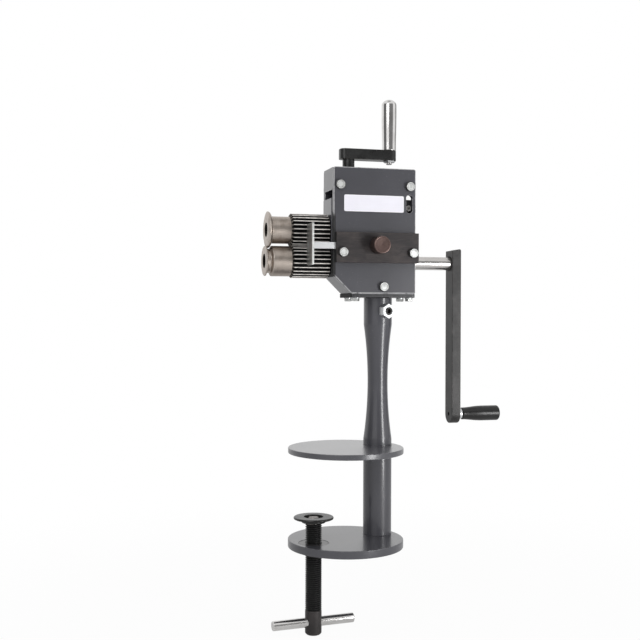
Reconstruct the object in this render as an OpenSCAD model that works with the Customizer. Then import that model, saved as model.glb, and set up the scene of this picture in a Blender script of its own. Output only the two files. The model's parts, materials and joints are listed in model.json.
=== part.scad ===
// Sheet metal crimper on a bench stand. The bench top's upper face lies at z = 0, against the
// underside of the upper disc, whose centre is the origin. The shafts run along x, towards the crank.

/* [Stand] */
// Diameter of both discs
disc_d = 170; // [160:1:190]
// Thickness of the bench disc
bench_disc_t = 8; // [6:0.5:11]
// Thickness of the clamp disc
clamp_disc_t = 11.5; // [8:0.5:13]
// Room between the bench face and the clamp disc's top
throat = 126.3; // [118:0.1:150]
// Outer diameter of the column tube
column_d = 42.4; // [41:0.2:48]
// Wall of the column tube
column_wall = 3.2; // [2.6:0.1:3.8]
// Diameter of the column's narrow waist
waist_d = 30; // [27:0.5:36]
// Height above the bench face where the waist's curve starts
neck_start = 17; // [13:1:22]
// Depth of the straight socket in the column's top
socket_depth = 39.1; // [34:0.1:50]
// Height of the column's top above the bench face
column_height = 228.1; // [224:0.1:250]
// Rim of the discs left outside the column
column_edge = 5.8; // [3:0.1:12]
// Angle of the stand about the column, against the shafts
stand_turn = 18.7; // [0:0.1:30]

/* [Bench clamp] */
// Rim of the clamp disc left outside the threaded nut
nut_edge = 7.2; // [3:0.1:12]
// Diameter of the clamp screw
clamp_screw_d = 24; // [22:0.5:26]
// Pitch of the clamp screw's thread
clamp_pitch = 3; // [2:0.5:4]
// Height of the pad's top below the bench face
pad_drop = 88.4; // [80:0.2:96]
// Diameter of the clamp pad
pad_d = 58; // [52:1:62]
// Diameter of the recess in the pad's top
pad_recess_d = 28; // [24:0.5:32]
// Height of the pad with its collar
pad_h = 8.5; // [8:0.5:11]
// Thickness of the pad's rim
pad_rim_t = 3.6; // [3.4:0.2:5]
// Diameter of the collar under the pad
pad_collar_d = 34.8; // [31:0.2:38]
// Diameter of the threaded nut in the clamp disc
clamp_nut_d = 43.2; // [38:0.2:46]
// Diameter of the nut's end below the disc
clamp_nut_end_d = 35; // [31:0.5:37]
// Drop of the nut's end below the disc
clamp_nut_drop = 4.8; // [3.5:0.1:7]
// Length of the clamp screw below its shoulder
clamp_screw_l = 161.5; // [150:0.5:175]
// Length of the screw's plain end
plain_end_l = 36.5; // [32:0.5:42]
// Height of the tommy bar above the screw's lower end
tommy_rise = 17.8; // [16:0.2:24]
// Diameter of the tommy bar
tommy_d = 14; // [10:0.5:15]
// Length of the tommy bar
tommy_l = 125; // [110:1:140]
// Angle of the tommy bar against the shafts
tommy_turn = 6; // [-10:0.5:10]

/* [Column lock] */
// Drop of the lock nut below the column's top
lock_drop = 19.6; // [16:0.1:24]
// Angle of the lock nut about the column, from the front
lock_turn = 15; // [0:1:30]
// Thread diameter of the lock screw
lock_d = 12; // [10:1:13]
// Width across the lock nut's flats
lock_af = 19; // [17:0.5:21]
// Distance of the lock nut's face from the column axis
lock_face = 30.4; // [28:0.2:33]

/* [Head] */
// Length of the head along the shafts
plate_w = 126.4; // [124:0.2:136]
// Height of the bearing slide above the upper shaft
slide_cover = 47.6; // [40:0.1:56]
// Thickness of the front and rear plates
plate_t = 8; // [6.5:0.5:9]
// Distance between the plates
block_depth = 48; // [46:0.5:56]
// Distance of the head's left end from the column axis
plate_left = 78.2; // [74:0.2:82]
// Leg of the cut at the lower left corner
corner_cut = 27; // [22:0.5:29]
// Radius of the plates' upper corners
corner_r = 3; // [1:0.5:5]
// Shortening of the rear plate at its left end
rear_inset = 1.7; // [1:0.1:3]
// Thickness of the base plate
base_t = 6.3; // [5:0.1:8]
// Radius of the base plate's corners
base_corner_r = 4; // [2:0.5:6]
// Height of the top block
top_block_h = 33; // [31:0.5:36]
// Open height between the top block and the bearing slide
travel_gap = 11.7; // [10:0.1:12.5]
// How far the bearing slide stands out at the left
slide_proud = 0.8; // [0.5:0.1:2]
// Width of the front slot
slot_w = 10; // [9.4:0.1:12]
// Length of the front slot
slot_l = 27.5; // [26:0.1:31]
// Distance of the front slot from the head's right end
slot_inset = 10; // [9:0.1:12]
// Drop of the guide screw below the bearing slide's top
guide_drop = 12.9; // [9:0.1:16]
// Height of the guide screw above the slot's lower end
guide_rise = 8.2; // [7:0.1:9]

/* [Fasteners] */
// Thread diameter of the plate and rail bolts
bolt_d = 8; // [7:0.5:8.5]
// Width across the flats of the plate and rail bolts
bolt_af = 13; // [12:0.5:14]
// Height of the plate and rail bolt heads
bolt_head_h = 5.3; // [4.5:0.1:6]
// Thread diameter of the base bolts
base_bolt_d = 6; // [5:0.5:6.5]
// Width across the flats of the base bolts
base_bolt_af = 10; // [8.5:0.5:10.5]
// Height of the base bolt heads
base_bolt_head_h = 4; // [3.4:0.1:5]
// Distance of the base bolts from the base plate's left end
base_bolt_left = 10.2; // [7:0.1:14]
// Distance of the base bolts from the base plate's right end
base_bolt_right = 6.4; // [6:0.1:14]
// Distance of the base bolts from the base plate's sides
base_bolt_side = 12; // [7:0.5:14]

/* [Shafts and rolls] */
// Diameter of both shafts
shaft_d = 20; // [18:0.5:21]
// Height of the lower shaft above the base plate
lower_axis_rise = 46.6; // [44.5:0.1:50]
// Tooth module of the crimp rolls
tooth_module = 1.89; // [1.85:0.01:1.95]
// Number of teeth on each crimp roll
roll_teeth = 24; // [23:1:25]
// Turn of the lower crimp roll away from a tooth at its top
tooth_turn = 6.1; // [0:0.1:7]
// Length of the toothed rolls
crimp_roll_l = 57.5; // [50:0.5:60]
// Length of the upper bead roll
upper_bead_l = 34.2; // [30:0.1:36]
// How far the lower bead roll stands out past the upper one's rim
lower_bead_past = 4.3; // [3.4:0.1:6]
// Height of the upper bead roll's flange above the pitch circle
upper_bead_over = 4.3; // [3.4:0.1:4.6]
// Depth of the upper bead roll's body below the pitch circle
upper_body_under = 2.8; // [2.2:0.1:3.8]
// Depth of the lower bead roll's flange below the pitch circle
lower_flange_under = 0.7; // [0.4:0.1:1.8]
// Depth of the lower bead roll's groove below the pitch circle
groove_under = 5; // [5:0.1:6.4]
// Depth of the lower bead roll's body below the pitch circle
lower_body_under = 0.4; // [0:0.1:1.6]
// Diameter of the recess in the bead rolls' ends
roll_recess_d = 20.6; // [18:0.2:22]
// Outer diameter of the bronze bushes
bush_d = 26; // [25:0.5:28]
// Length of the bronze bushes
bush_l = 30; // [24:1:36]
// Flange diameter of the left bushes
bush_flange_d = 32; // [30:0.5:36]
// Flange thickness of the left bushes
bush_flange_t = 1; // [0.8:0.1:2.2]

/* [Crank] */
// Distance from the head's right end to the crank arm
crank_gap = 66.2; // [60:0.2:72]
// Crank radius, from the shaft to the grip
crank_r = 230; // [200:1:232]
// Thickness of the crank arm
arm_t = 14.2; // [11:0.1:15]
// Width of the crank arm
arm_w = 28; // [26:0.5:32]
// Overhang of the arm's square end above the shaft
arm_top = 21.8; // [18:0.2:24]
// Length of the collar between arm and grip
collar_l = 6.2; // [6:0.1:9]
// Diameter of the collar
collar_d = 15.5; // [13:0.1:16.5]
// Length of the grip
grip_l = 60.8; // [58:0.2:72]
// Diameter of the grip
grip_d = 23; // [21:0.2:26]
// Diameter of the grip where it meets the collar
grip_base_d = 18.2; // [17.6:0.2:20]
// Diameter of the spindle inside the grip
spindle_d = 10; // [9:0.2:11]

/* [Adjusting crank] */
// Diameter of the adjusting screw
adjust_d = 18; // [16:0.2:19]
// Pitch of the adjusting screw's thread
adjust_pitch = 2; // [1.5:0.25:3]
// Distance of the adjusting screw from the head's left end
adjust_inset = 31.5; // [29:0.5:36]
// Height of the adjusting arm above the top block
adjust_rise = 15.2; // [14:0.1:20]
// Length of the adjusting arm between its axes
adjust_arm_l = 63.5; // [56:0.5:70]
// Width of the adjusting arm
adjust_arm_w = 21; // [20:0.5:25]
// Thickness of the adjusting arm
adjust_arm_t = 15.5; // [14:0.5:18]
// Overhang of the arm's square end past the screw
adjust_arm_end = 14; // [12:0.5:16]
// Length of the polished handle
knob_l = 77; // [68:1:84]
// Largest diameter of the polished handle
knob_d = 22.8; // [22:0.2:27]
// Diameter of the polished handle at its foot
knob_base_d = 21.4; // [18:0.2:22]

/* [Gauge] */
// Overhang of the gauge rail past the head's right end
rail_over = 0.8; // [0:0.1:3]
// Distance of the gauge rail's left end from the head's left end
rail_in = 1.2; // [0:0.1:4]
// Height of the gauge rail
rail_h = 44; // [40:0.5:46]
// Thickness of the gauge rail
rail_t = 12; // [11:0.5:14]
// Drop of the rail's middle below the line between the rolls
rail_drop = 2.9; // [2:0.1:4.4]
// Drop of the gauge bar below the line between the rolls
gauge_drop = 0.7; // [0:0.1:2.2]
// Height of the gauge bar
gauge_bar_h = 9.4; // [8:0.1:10]
// Thickness of the gauge bar
gauge_bar_t = 8; // [6:0.5:8.5]
// Length of the gauge bar
gauge_bar_l = 158; // [140:1:165]
// Distance of the gauge stop from the head's left end
gauge_out = 36; // [25:0.2:45]
// Thickness of the gauge stop
gauge_stop_t = 3.1; // [3:0.1:6]
// Height of the gauge stop
gauge_stop_h = 59.6; // [50:0.2:64]
// Depth of the gauge stop across the shafts
gauge_stop_w = 31; // [20:0.5:34]
// Height of the gauge stop's middle above the gauge bar's middle
gauge_stop_rise = 1; // [0:0.1:2]
// Height of the gauge knob's axis above the gauge bar's middle
gauge_knob_rise = 0.9; // [0:0.1:1.5]
// Diameter of the gauge knob
gauge_knob_d = 25.3; // [22:0.1:28]
// Length of the gauge knob's head
gauge_knob_l = 20; // [16:0.5:24]
// Distance of the gauge knob from the head's left end
gauge_knob_in = 63.8; // [58:0.2:68]

/* [Label plate] */
// Distance of the label plate from the head's right end
label_right = 19; // [16:0.2:24]
// Height of the bare label plate
label_h = 24.2; // [20:0.2:28]
// Thickness of the bare label plate
label_t = 0.8; // [0.5:0.1:1.2]
// Corner radius of the bare label plate
label_r = 2; // [1:0.2:3]
// Distance of the label plate from the head's left end
label_in = 15.8; // [12:0.2:16]
// Drop of the label plate's middle below the head's top
label_drop = 52.7; // [50:0.1:54]

/* [Hidden] */

// Smoothness of circles, and of the column's long curve
$fn = 96;
curve_fn = 256;
// Sides of a hexagon
hex_sides = 6;
// Cuts run this far past the face that they open
overrun = 1;
// Radial clearance of a piece seated in its hole
seat = 0.05;
// Radial clearance of a shaft or screw that turns in its bore
running_fit = 0.06;
// Clearance between flat faces that slide or stop short of each other
face_gap = 0.3;

// Colours as photographed
paint = [0.35, 0.35, 0.37];
black_steel = [0.16, 0.16, 0.16];
brown_steel = [0.24, 0.21, 0.20];
bare_steel = [0.55, 0.52, 0.49];
bright_steel = [0.80, 0.80, 0.80];
zinc = [0.85, 0.86, 0.87];
bronze = [0.78, 0.60, 0.32];
bakelite = [0.06, 0.06, 0.06];
label_white = [0.93, 0.92, 0.95];

// Stand
column_reach = (disc_d - column_d) / 2 - column_edge;
screw_reach = (disc_d - clamp_nut_d) / 2 - nut_edge;
column_x = column_reach * cos(stand_turn);
column_y = column_reach * sin(stand_turn);
screw_x = -screw_reach * cos(stand_turn);
screw_y = -screw_reach * sin(stand_turn);
column_r = column_d / 2;
column_bottom = -throat;
neck_length = column_height - socket_depth - neck_start;
neck_mid = neck_start + neck_length / 2;
neck_depth = (column_d - waist_d) / 2;
// The waist is one arc through both ends of the curve and the waist
neck_arc_r = (pow(neck_length / 2, 2) + pow(neck_depth, 2)) / (2 * neck_depth);
neck_arc_x = waist_d / 2 + neck_arc_r;
socket_r = column_r - column_wall;
post_r = socket_r - running_fit;
post_bottom = neck_start + neck_length + 2 * face_gap;
post_chamfer = column_wall / 2;

// Bench clamp
clamp_screw_r = clamp_screw_d / 2;
clamp_nut_top = -throat - face_gap;
clamp_nut_bottom = -throat - clamp_disc_t - clamp_nut_drop;
pad_top = -pad_drop;
pad_bottom = pad_top - pad_h;
pad_web_t = 5;
pad_recess_depth = pad_h - pad_web_t;
nose_r = 8;
nose_h = 2.6;
nose_neck_r = 5.7;
nose_top_share = 0.85;
rim_round = pad_rim_t / 3;
screw_top = pad_bottom - face_gap;
screw_bottom = screw_top - clamp_screw_l;
end_round = 2.4;
tommy_z = screw_bottom + tommy_rise;
tommy_chamfer = 0.8;

// Column lock
lock_z = column_height - lock_drop;
lock_screw_tip = post_r + face_gap;
lock_screw_show = 0.8;
lock_screw_end = lock_face + lock_screw_show;
lock_socket_af = lock_d / 2;
lock_socket_depth = lock_d / 2;

// Heights of the head, whose plates cover the lower block, the slide, its travel and the top block
shaft_spacing = tooth_module * roll_teeth;
plate_h = lower_axis_rise + shaft_spacing + slide_cover + travel_gap + top_block_h;
base_bottom = column_height + face_gap;
head_z = base_bottom + base_t;
head_top = head_z + plate_h;
lower_z = head_z + lower_axis_rise;
upper_z = lower_z + shaft_spacing;
split_z = lower_z + shaft_spacing / 2;
top_block_z = head_top - top_block_h;
slide_top = top_block_z - travel_gap;
slide_bottom = split_z + face_gap;

// Places along and across the shafts
left_x = -plate_left;
right_x = plate_w - plate_left;
block_y = block_depth / 2;
front_y = -block_y - plate_t;
rear_y = block_y + plate_t;
slide_left = left_x - slide_proud;
slide_right = right_x - slide_proud;
slide_y = block_y - face_gap;
groove_w = 2;
slot_x = right_x - slot_inset;
guide_z = slide_top - guide_drop;
slot_z = guide_z - guide_rise;

// Fasteners
hex_corner_share = 1.16;
hex_top_share = 0.96;
hex_top_start_share = 0.72;
plate_bolt_inset = 9.5;
plate_bolt_rise = 6.8;
low_bolt_x = -1.8;
low_bolt_rise = 9.7;
plate_bolts_at = [
    [left_x + plate_bolt_inset, top_block_z + plate_bolt_rise],
    [right_x - plate_bolt_inset, top_block_z + plate_bolt_rise],
    [low_bolt_x, head_z + low_bolt_rise]
];
bolt_r = bolt_d / 2;
nut_h = 6.5;
bolt_tail = 2;
washer_d = 12;
washer_t = 1.2;
base_bolt_r = base_bolt_d / 2;
base_bolt_grip = 14;
base_left = left_x + corner_cut;
base_w = right_x - base_left;
base_centre_x = base_left + base_w / 2;
base_depth = block_depth + 2 * plate_t;
guide_r = 3;
guide_head_play = 0.75;
guide_head_r = slot_w / 2 - guide_head_play;
guide_head_h = 5;
guide_l = 11;
guide_socket_af = 4;
guide_socket_depth = 3;

// Adjusting screw foot and its keeper
foot_r = 8.6;
foot_h = 5;
neck_r = 5.8;
keeper_t = 3;
keeper_w = 36;
keeper_depth = 28;
pocket_r = foot_r + face_gap;
pocket_z = slide_top - keeper_t - foot_h - 2 * face_gap;
adjust_x = left_x + adjust_inset;
adjust_r = adjust_d / 2;
adjust_arm_z = head_top + adjust_rise;
adjust_top = adjust_arm_z + adjust_arm_t;
adjust_shoulder = 1;
adjust_nose_r = adjust_r - adjust_shoulder;
adjust_corner_r = 8;
keeper_screw_r = 2;
keeper_screw_head_r = 3.5;
keeper_screw_l = 10;
keeper_screw_x = 14;

// Shafts and rolls
shaft_r = shaft_d / 2;
bush_r = bush_d / 2;
bush_flange_r = bush_flange_d / 2;
upper_roll_right = slide_left - bush_flange_t - face_gap;
lower_roll_right = left_x - bush_flange_t - face_gap;
upper_gear_left = upper_roll_right - crimp_roll_l;
lower_gear_left = lower_roll_right - crimp_roll_l;
upper_roll_left = upper_gear_left - upper_bead_l;
flange_rise = 1.6;
lower_roll_left = upper_roll_left + flange_rise - lower_bead_past;
lower_bead_l = lower_gear_left - lower_roll_left;
recess_depth = 17;
web_t = 5;
shaft_end_in = recess_depth + web_t;
ring_t = 1.2;
ring_play = 0.2;
ring_side_gap = 0.1;
ring_groove_depth = 0.9;
ring_groove_r = shaft_r - ring_groove_depth;
ring_r = bush_r + face_gap;
ring_eye_x = 3.6;
ring_eye_r = 2.4;
ring_eye_hole_r = 0.9;
ring_open_w = 3;
shaft_over = 2.4;
key_w = 6;
key_in = 3.4;
key_out = 2.6;
key_end = 4;
roll_screw_r = 4;
roll_screw_head_r = 6.5;
roll_screw_head_h = 8;
roll_screw_l = 20;
roll_socket_af = 6;
roll_socket_depth = 4;

// Tooth form: involute flanks from the pitch circle, cut short at the tips
pressure_angle = 20;
pitch_r = tooth_module * roll_teeth / 2;
base_circle_r = pitch_r * cos(pressure_angle);
tip_share = 1.12;
root_share = 1.32;
tip_r = pitch_r + tip_share * tooth_module;
root_r = pitch_r - root_share * tooth_module;
tooth_play = 0.25;
// Fillet of the tooth's foot, as an angle
root_spread = 1;
tooth_thickness = PI * tooth_module / 2 - tooth_play;
flank_shares = [0, 0.35, 0.7, 1];
tip_clear = 0.3;
outer_bevel = 2.6;
outer_bevel_depth = 4.8;
inner_bevel = 1.2;
inner_bevel_depth = 1.6;

// Bead roll outlines
upper_bead_r = pitch_r + upper_bead_over;
upper_body_r = pitch_r - upper_body_under;
lower_flange_r = pitch_r - lower_flange_under;
groove_r = pitch_r - groove_under;
lower_body_r = pitch_r - lower_body_under;
flange_bevel = 6;
flange_face_r = upper_bead_r - flange_bevel;
bead_end = 6.4;
// The lower roll's flange, groove and body start at places counted from the upper roll's rim
flange_lead = 2.4;
groove_lead = 0.6;
groove_trail = 3.3;
body_trail = 6.1;
lower_flange_l = lower_bead_past - flange_lead;
groove_in = lower_bead_past - groove_lead;
groove_out = lower_bead_past + groove_trail;
body_start = lower_bead_past + body_trail;
bead_steps = 8;
rim_ease = 0.8;

// Crank
arm_left = right_x + crank_gap;
arm_right = arm_left + arm_t;
arm_r = arm_w / 2;
grip_z = lower_z - crank_r;
arm_bevel = 2.2;
arm_round = 2.6;
bore_chamfer = 2;
arm_screw_r = 4;
arm_screw_sink = 1.6;
arm_screw_l = arm_top - shaft_r - arm_screw_sink;
arm_socket_af = 4;
arm_socket_depth = 4;
stud_r = 4;
stud_hole_r = 3.1;
stud_wall = 3.6;
grip_left = arm_right + collar_l + face_gap;
grip_right = grip_left + grip_l;
spindle_r = spindle_d / 2;
spindle_head_r = 7.5;
spindle_head_h = 4;
head_recess = 4.6;
slot_cut_w = 1.6;
slot_cut_depth = 1.6;
grip_swell_shares = [0, 0.12, 0.25, 0.4, 0.55, 1];
grip_swell_size_shares = [0, 0.12, 0.42, 0.8, 1, 1];
grip_round = 3;

// Adjusting crank
grub_r = 3;
grub_sink = 0.7;
grub_l = adjust_arm_t / 2;
grub_top = adjust_arm_z + adjust_arm_t - face_gap - grub_sink;
grub_socket_af = 3;
grub_socket_depth = grub_l / 2;
handle_stud_r = 4.5;
handle_nut_af = 16;
handle_nut_h = 2.2;
stud_show = 3.2;
knob_waist_share = 0.2;
knob_full_share = 0.55;
knob_dome_share = 0.8;
knob_steps = 8;

// Gauge
rail_left = left_x + rail_in;
rail_right = right_x + rail_over;
rail_z = split_z - rail_drop;
rail_front = front_y - rail_t;
gauge_z = split_z - gauge_drop;
rail_bolt_left = 11;
rail_bolt_right = 9;
rail_bolts_x = [left_x + rail_bolt_left, rail_right - rail_bolt_right];
rail_bolt_grip = 7;
channel_play = 0.3;
rail_bolt_wall = 0.5;
rail_bolt_z = gauge_z - gauge_bar_h / 2 - channel_play - rail_bolt_wall - bolt_r;
gauge_bar_front = front_y - gauge_bar_t - channel_play;
gauge_stop_left = left_x - gauge_out - gauge_stop_t;
stop_clear = 3;
gauge_stop_y = -tip_r - stop_clear - gauge_stop_w;
stop_screw_r = 2.5;
stop_screw_head_r = 4.8;
stop_screw_l = 16;
gauge_knob_x = left_x + gauge_knob_in;
gauge_knob_z = gauge_z + gauge_knob_rise;
gauge_stop_z = gauge_z + gauge_stop_rise;
knob_stud_r = 4;
knob_gap = 2;
knob_chamfer = 0.8;

// Label plate
label_w = plate_w - label_in - label_right;

// Shapes used by several pieces

module on_column() {
    translate([column_x, column_y, 0]) children();
}

// Turns a shape that stands along z so that it lies along x
module along_x() {
    rotate([90, 0, 90]) children();
}

// Turns a shape that stands along z so that it points to the front
module to_front() {
    rotate([90, 0, 0]) children();
}

module box_between(low, high) {
    translate(low) cube(high - low);
}

module rounded_rect(w, h, r) {
    union() {
        translate([-w / 2 + r, -h / 2]) square([w - 2 * r, h]);
        translate([-w / 2, -h / 2 + r]) square([w, h - 2 * r]);
        for (sx = [-1, 1]) {
            for (sy = [-1, 1]) {
                translate([sx * (w / 2 - r), sy * (h / 2 - r)]) circle(r);
            }
        }
    }
}

// Hexagonal prism of a width across its flats, with one corner at +x before it is turned
module hex_prism(af, h) {
    cylinder(d = af / cos(180 / hex_sides), h = h, $fn = hex_sides);
}

// Hexagon whose corners are rounded off at the far end, as on a bolt head
module hex_head(af, h) {
    intersection() {
        hex_prism(af, h);
        union() {
            cylinder(d1 = af * hex_corner_share, d2 = af * hex_top_share, h = h);
            cylinder(d = af * hex_corner_share, h = h * hex_top_start_share);
        }
    }
}

// A bolt that points up, with its head below its seat at z = 0
module bolt(r, af, head_h, l) {
    union() {
        mirror([0, 0, 1]) rotate([0, 0, 180 / hex_sides]) hex_head(af, head_h);
        cylinder(r = r, h = l);
    }
}

// A socket screw that points up, with its head below its seat at z = 0
module socket_screw(r, head_r, head_h, l, socket_af, socket_depth) {
    difference() {
        union() {
            translate([0, 0, -head_h]) cylinder(r = head_r, h = head_h);
            cylinder(r = r, h = l);
        }
        translate([0, 0, -head_h - overrun]) hex_prism(socket_af, socket_depth + overrun);
    }
}

// A grub screw that points up, with its socket at z = 0
module grub_screw(r, l, socket_af, socket_depth) {
    difference() {
        cylinder(r = r, h = l);
        translate([0, 0, -overrun]) hex_prism(socket_af, socket_depth + overrun);
    }
}

// Outline of the head seen from the front, with its lower left corner cut away
module head_outline(low_x, high_x, low_z, high_z, cut) {
    polygon([
        [low_x + cut, low_z], [high_x, low_z], [high_x, high_z], [low_x, high_z], [low_x, low_z + cut]
    ]);
}

module corner_cutter(r) {
    difference() {
        translate([0, 0]) square(r + overrun);
        circle(r);
    }
}

// A plate of that outline between two places across the shafts, rounded at its upper corners
module head_slab(low_x, near_y, far_y, cut) {
    translate([0, far_y, 0]) to_front() linear_extrude(far_y - near_y) difference() {
        head_outline(low_x, right_x, head_z, head_top, cut);
        translate([right_x - corner_r, head_top - corner_r]) corner_cutter(corner_r);
        translate([low_x + corner_r, head_top - corner_r]) mirror([1, 0]) corner_cutter(corner_r);
    }
}

// Stand

module bench_disc() {
    color(paint) difference() {
        cylinder(d = disc_d, h = bench_disc_t);
        on_column() translate([0, 0, -overrun])
            cylinder(r = column_r + seat, h = bench_disc_t + 2 * overrun);
    }
}

module clamp_disc() {
    color(paint) difference() {
        translate([0, 0, -throat - clamp_disc_t]) cylinder(d = disc_d, h = clamp_disc_t);
        translate([screw_x, screw_y, -throat - clamp_disc_t - overrun])
            cylinder(r = clamp_nut_d / 2 + seat, h = clamp_disc_t + 2 * overrun);
    }
}

// Half outline of the column, for its outer face or, with a wall, for its hollow
module column_outline(wall, low, high) {
    difference() {
        translate([0, low]) square([column_r - wall, high - low]);
        translate([neck_arc_x, neck_mid]) circle(neck_arc_r + wall, $fn = curve_fn);
    }
}

module lock_axis() {
    on_column() translate([0, 0, lock_z]) rotate([0, 0, lock_turn]) to_front() children();
}

module column() {
    color(paint) difference() {
        on_column() rotate_extrude() difference() {
            column_outline(0, column_bottom, column_height);
            column_outline(column_wall, column_bottom - overrun, column_height + overrun);
        }
        lock_axis() cylinder(r = lock_d / 2 + running_fit, h = column_d);
    }
}

module clamp_nut() {
    nut_h = clamp_nut_top - clamp_nut_bottom;
    color(paint) translate([screw_x, screw_y, clamp_nut_bottom]) difference() {
        union() {
            cylinder(d1 = clamp_nut_end_d - clamp_nut_drop, d2 = clamp_nut_end_d, h = clamp_nut_drop / 2);
            translate([0, 0, clamp_nut_drop / 2]) cylinder(d = clamp_nut_end_d, h = clamp_nut_drop);
            translate([0, 0, clamp_nut_drop]) cylinder(d = clamp_nut_d, h = nut_h - clamp_nut_drop);
        }
        translate([0, 0, -overrun]) cylinder(r = clamp_screw_r + running_fit, h = nut_h + 2 * overrun);
    }
}

module lock_nut() {
    color(zinc) difference() {
        lock_axis() rotate([0, 0, 90]) hex_prism(lock_af, lock_face);
        on_column() translate([0, 0, column_bottom])
            cylinder(r = column_r + seat, h = column_height - column_bottom);
        lock_axis() cylinder(r = lock_d / 2 + running_fit, h = lock_face + overrun);
    }
}

module lock_screw() {
    color(black_steel) lock_axis() translate([0, 0, lock_screw_end]) mirror([0, 0, 1])
        grub_screw(lock_d / 2, lock_screw_end - lock_screw_tip, lock_socket_af, lock_socket_depth);
}

// Head

module head_post() {
    color(black_steel) on_column() union() {
        translate([0, 0, post_bottom]) cylinder(r1 = post_r - post_chamfer, r2 = post_r, h = post_chamfer);
        translate([0, 0, post_bottom + post_chamfer])
            cylinder(r = post_r, h = head_z - post_bottom - post_chamfer);
    }
}

module at_base_bolts() {
    for (x = [base_left + base_bolt_left, right_x - base_bolt_right]) {
        for (side = [-1, 1]) {
            translate([x, side * (base_depth / 2 - base_bolt_side), 0]) children();
        }
    }
}

module base_plate() {
    color(paint) on_column() difference() {
        translate([base_centre_x, 0, base_bottom]) linear_extrude(base_t)
            rounded_rect(base_w, base_depth, base_corner_r);
        translate([0, 0, base_bottom - overrun]) cylinder(r = post_r + seat, h = base_t + 2 * overrun);
        at_base_bolts() translate([0, 0, base_bottom - overrun])
            cylinder(r = base_bolt_r + seat, h = base_t + 2 * overrun);
    }
}

module base_washers() {
    color(zinc) on_column() at_base_bolts() translate([0, 0, base_bottom - washer_t]) difference() {
        cylinder(d = washer_d, h = washer_t);
        translate([0, 0, -overrun]) cylinder(r = base_bolt_r + seat, h = washer_t + 2 * overrun);
    }
}

module base_bolts() {
    color(zinc) on_column() at_base_bolts() translate([0, 0, base_bottom - washer_t])
        bolt(base_bolt_r, base_bolt_af, base_bolt_head_h, washer_t + base_t + base_bolt_grip);
}

module plate_bolt_holes(r) {
    for (at = plate_bolts_at) {
        translate([at[0], rear_y + overrun, at[1]]) to_front() cylinder(r = r, h = base_depth + 2 * overrun);
    }
}

module rail_bolt_holes(near_y, far_y) {
    for (x = rail_bolts_x) {
        translate([x, far_y, rail_bolt_z]) to_front() cylinder(r = bolt_r + seat, h = far_y - near_y);
    }
}

module front_plate() {
    color(paint) on_column() difference() {
        head_slab(left_x, front_y, -block_y, corner_cut);
        plate_bolt_holes(bolt_r + seat);
        rail_bolt_holes(front_y - overrun, -block_y + overrun);
        translate([0, -block_y + overrun, 0]) to_front() linear_extrude(plate_t + 2 * overrun) union() {
            translate([slot_x, slot_z + slot_w / 2]) circle(slot_w / 2);
            translate([slot_x, slot_z + slot_l - slot_w / 2]) circle(slot_w / 2);
            translate([slot_x - slot_w / 2, slot_z + slot_w / 2]) square([slot_w, slot_l - slot_w]);
        }
    }
}

module rear_plate() {
    color(paint) on_column() difference() {
        head_slab(left_x + rear_inset, block_y, rear_y, corner_cut);
        plate_bolt_holes(bolt_r + seat);
    }
}

module top_block() {
    color(paint) on_column() difference() {
        box_between([left_x, -block_y, top_block_z], [right_x, block_y, head_top]);
        plate_bolt_holes(bolt_r + seat);
        translate([adjust_x, 0, top_block_z - overrun])
            cylinder(r = adjust_r + running_fit, h = top_block_h + 2 * overrun);
    }
}

// Bore for a pair of bushes, with a wider seat at each end
module bush_bore(low_x, high_x, z) {
    translate([low_x - overrun, 0, z]) along_x()
        cylinder(r = (shaft_r + bush_r) / 2, h = high_x - low_x + 2 * overrun);
    translate([low_x - overrun, 0, z]) along_x() cylinder(r = bush_r + seat, h = bush_l + overrun);
    translate([high_x - bush_l, 0, z]) along_x() cylinder(r = bush_r + seat, h = bush_l + overrun);
}

module lower_block() {
    color(paint) on_column() difference() {
        union() {
            translate([0, block_y, 0]) to_front() linear_extrude(block_depth - groove_w)
                head_outline(left_x, right_x, head_z, split_z, corner_cut);
            translate([0, -block_y + groove_w, 0]) to_front() linear_extrude(groove_w)
                head_outline(left_x + groove_w, right_x, head_z, split_z, corner_cut);
        }
        plate_bolt_holes(bolt_r + seat);
        rail_bolt_holes(-block_y - overrun, -block_y + rail_bolt_grip + overrun);
        bush_bore(left_x, right_x, lower_z);
        at_base_bolts() translate([0, 0, head_z - overrun])
            cylinder(r = base_bolt_r + seat, h = base_bolt_grip + 2 * overrun);
    }
}

// A bush that starts at x = 0 and runs towards the crank
module bush(flange_t) {
    along_x() difference() {
        union() {
            cylinder(r = bush_r, h = bush_l);
            if (flange_t > 0) {
                translate([0, 0, -flange_t]) cylinder(r = bush_flange_r, h = flange_t);
            }
        }
        translate([0, 0, -flange_t - overrun])
            cylinder(r = shaft_r + running_fit, h = bush_l + flange_t + 2 * overrun);
    }
}

module lower_bushes() {
    color(bronze) on_column() {
        translate([left_x, 0, lower_z]) bush(bush_flange_t);
        translate([right_x - bush_l, 0, lower_z]) bush(0);
    }
}

module plate_bolts() {
    color(zinc) on_column() for (at = plate_bolts_at) {
        translate([at[0], front_y, at[1]]) rotate([-90, 0, 0])
            bolt(bolt_r, bolt_af, bolt_head_h, base_depth + nut_h + bolt_tail);
    }
}

module plate_nuts() {
    color(zinc) on_column() for (at = plate_bolts_at) {
        translate([at[0], rear_y, at[1]]) rotate([-90, 0, 0]) difference() {
            rotate([0, 0, 180 / hex_sides]) hex_head(bolt_af, nut_h);
            translate([0, 0, -overrun]) cylinder(r = bolt_r + seat, h = nut_h + 2 * overrun);
        }
    }
}

module label_plate() {
    color(label_white) on_column()
        translate([left_x + label_in + label_w / 2, front_y, head_top - label_drop])
        to_front() linear_extrude(label_t) rounded_rect(label_w, label_h, label_r);
}

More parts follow.
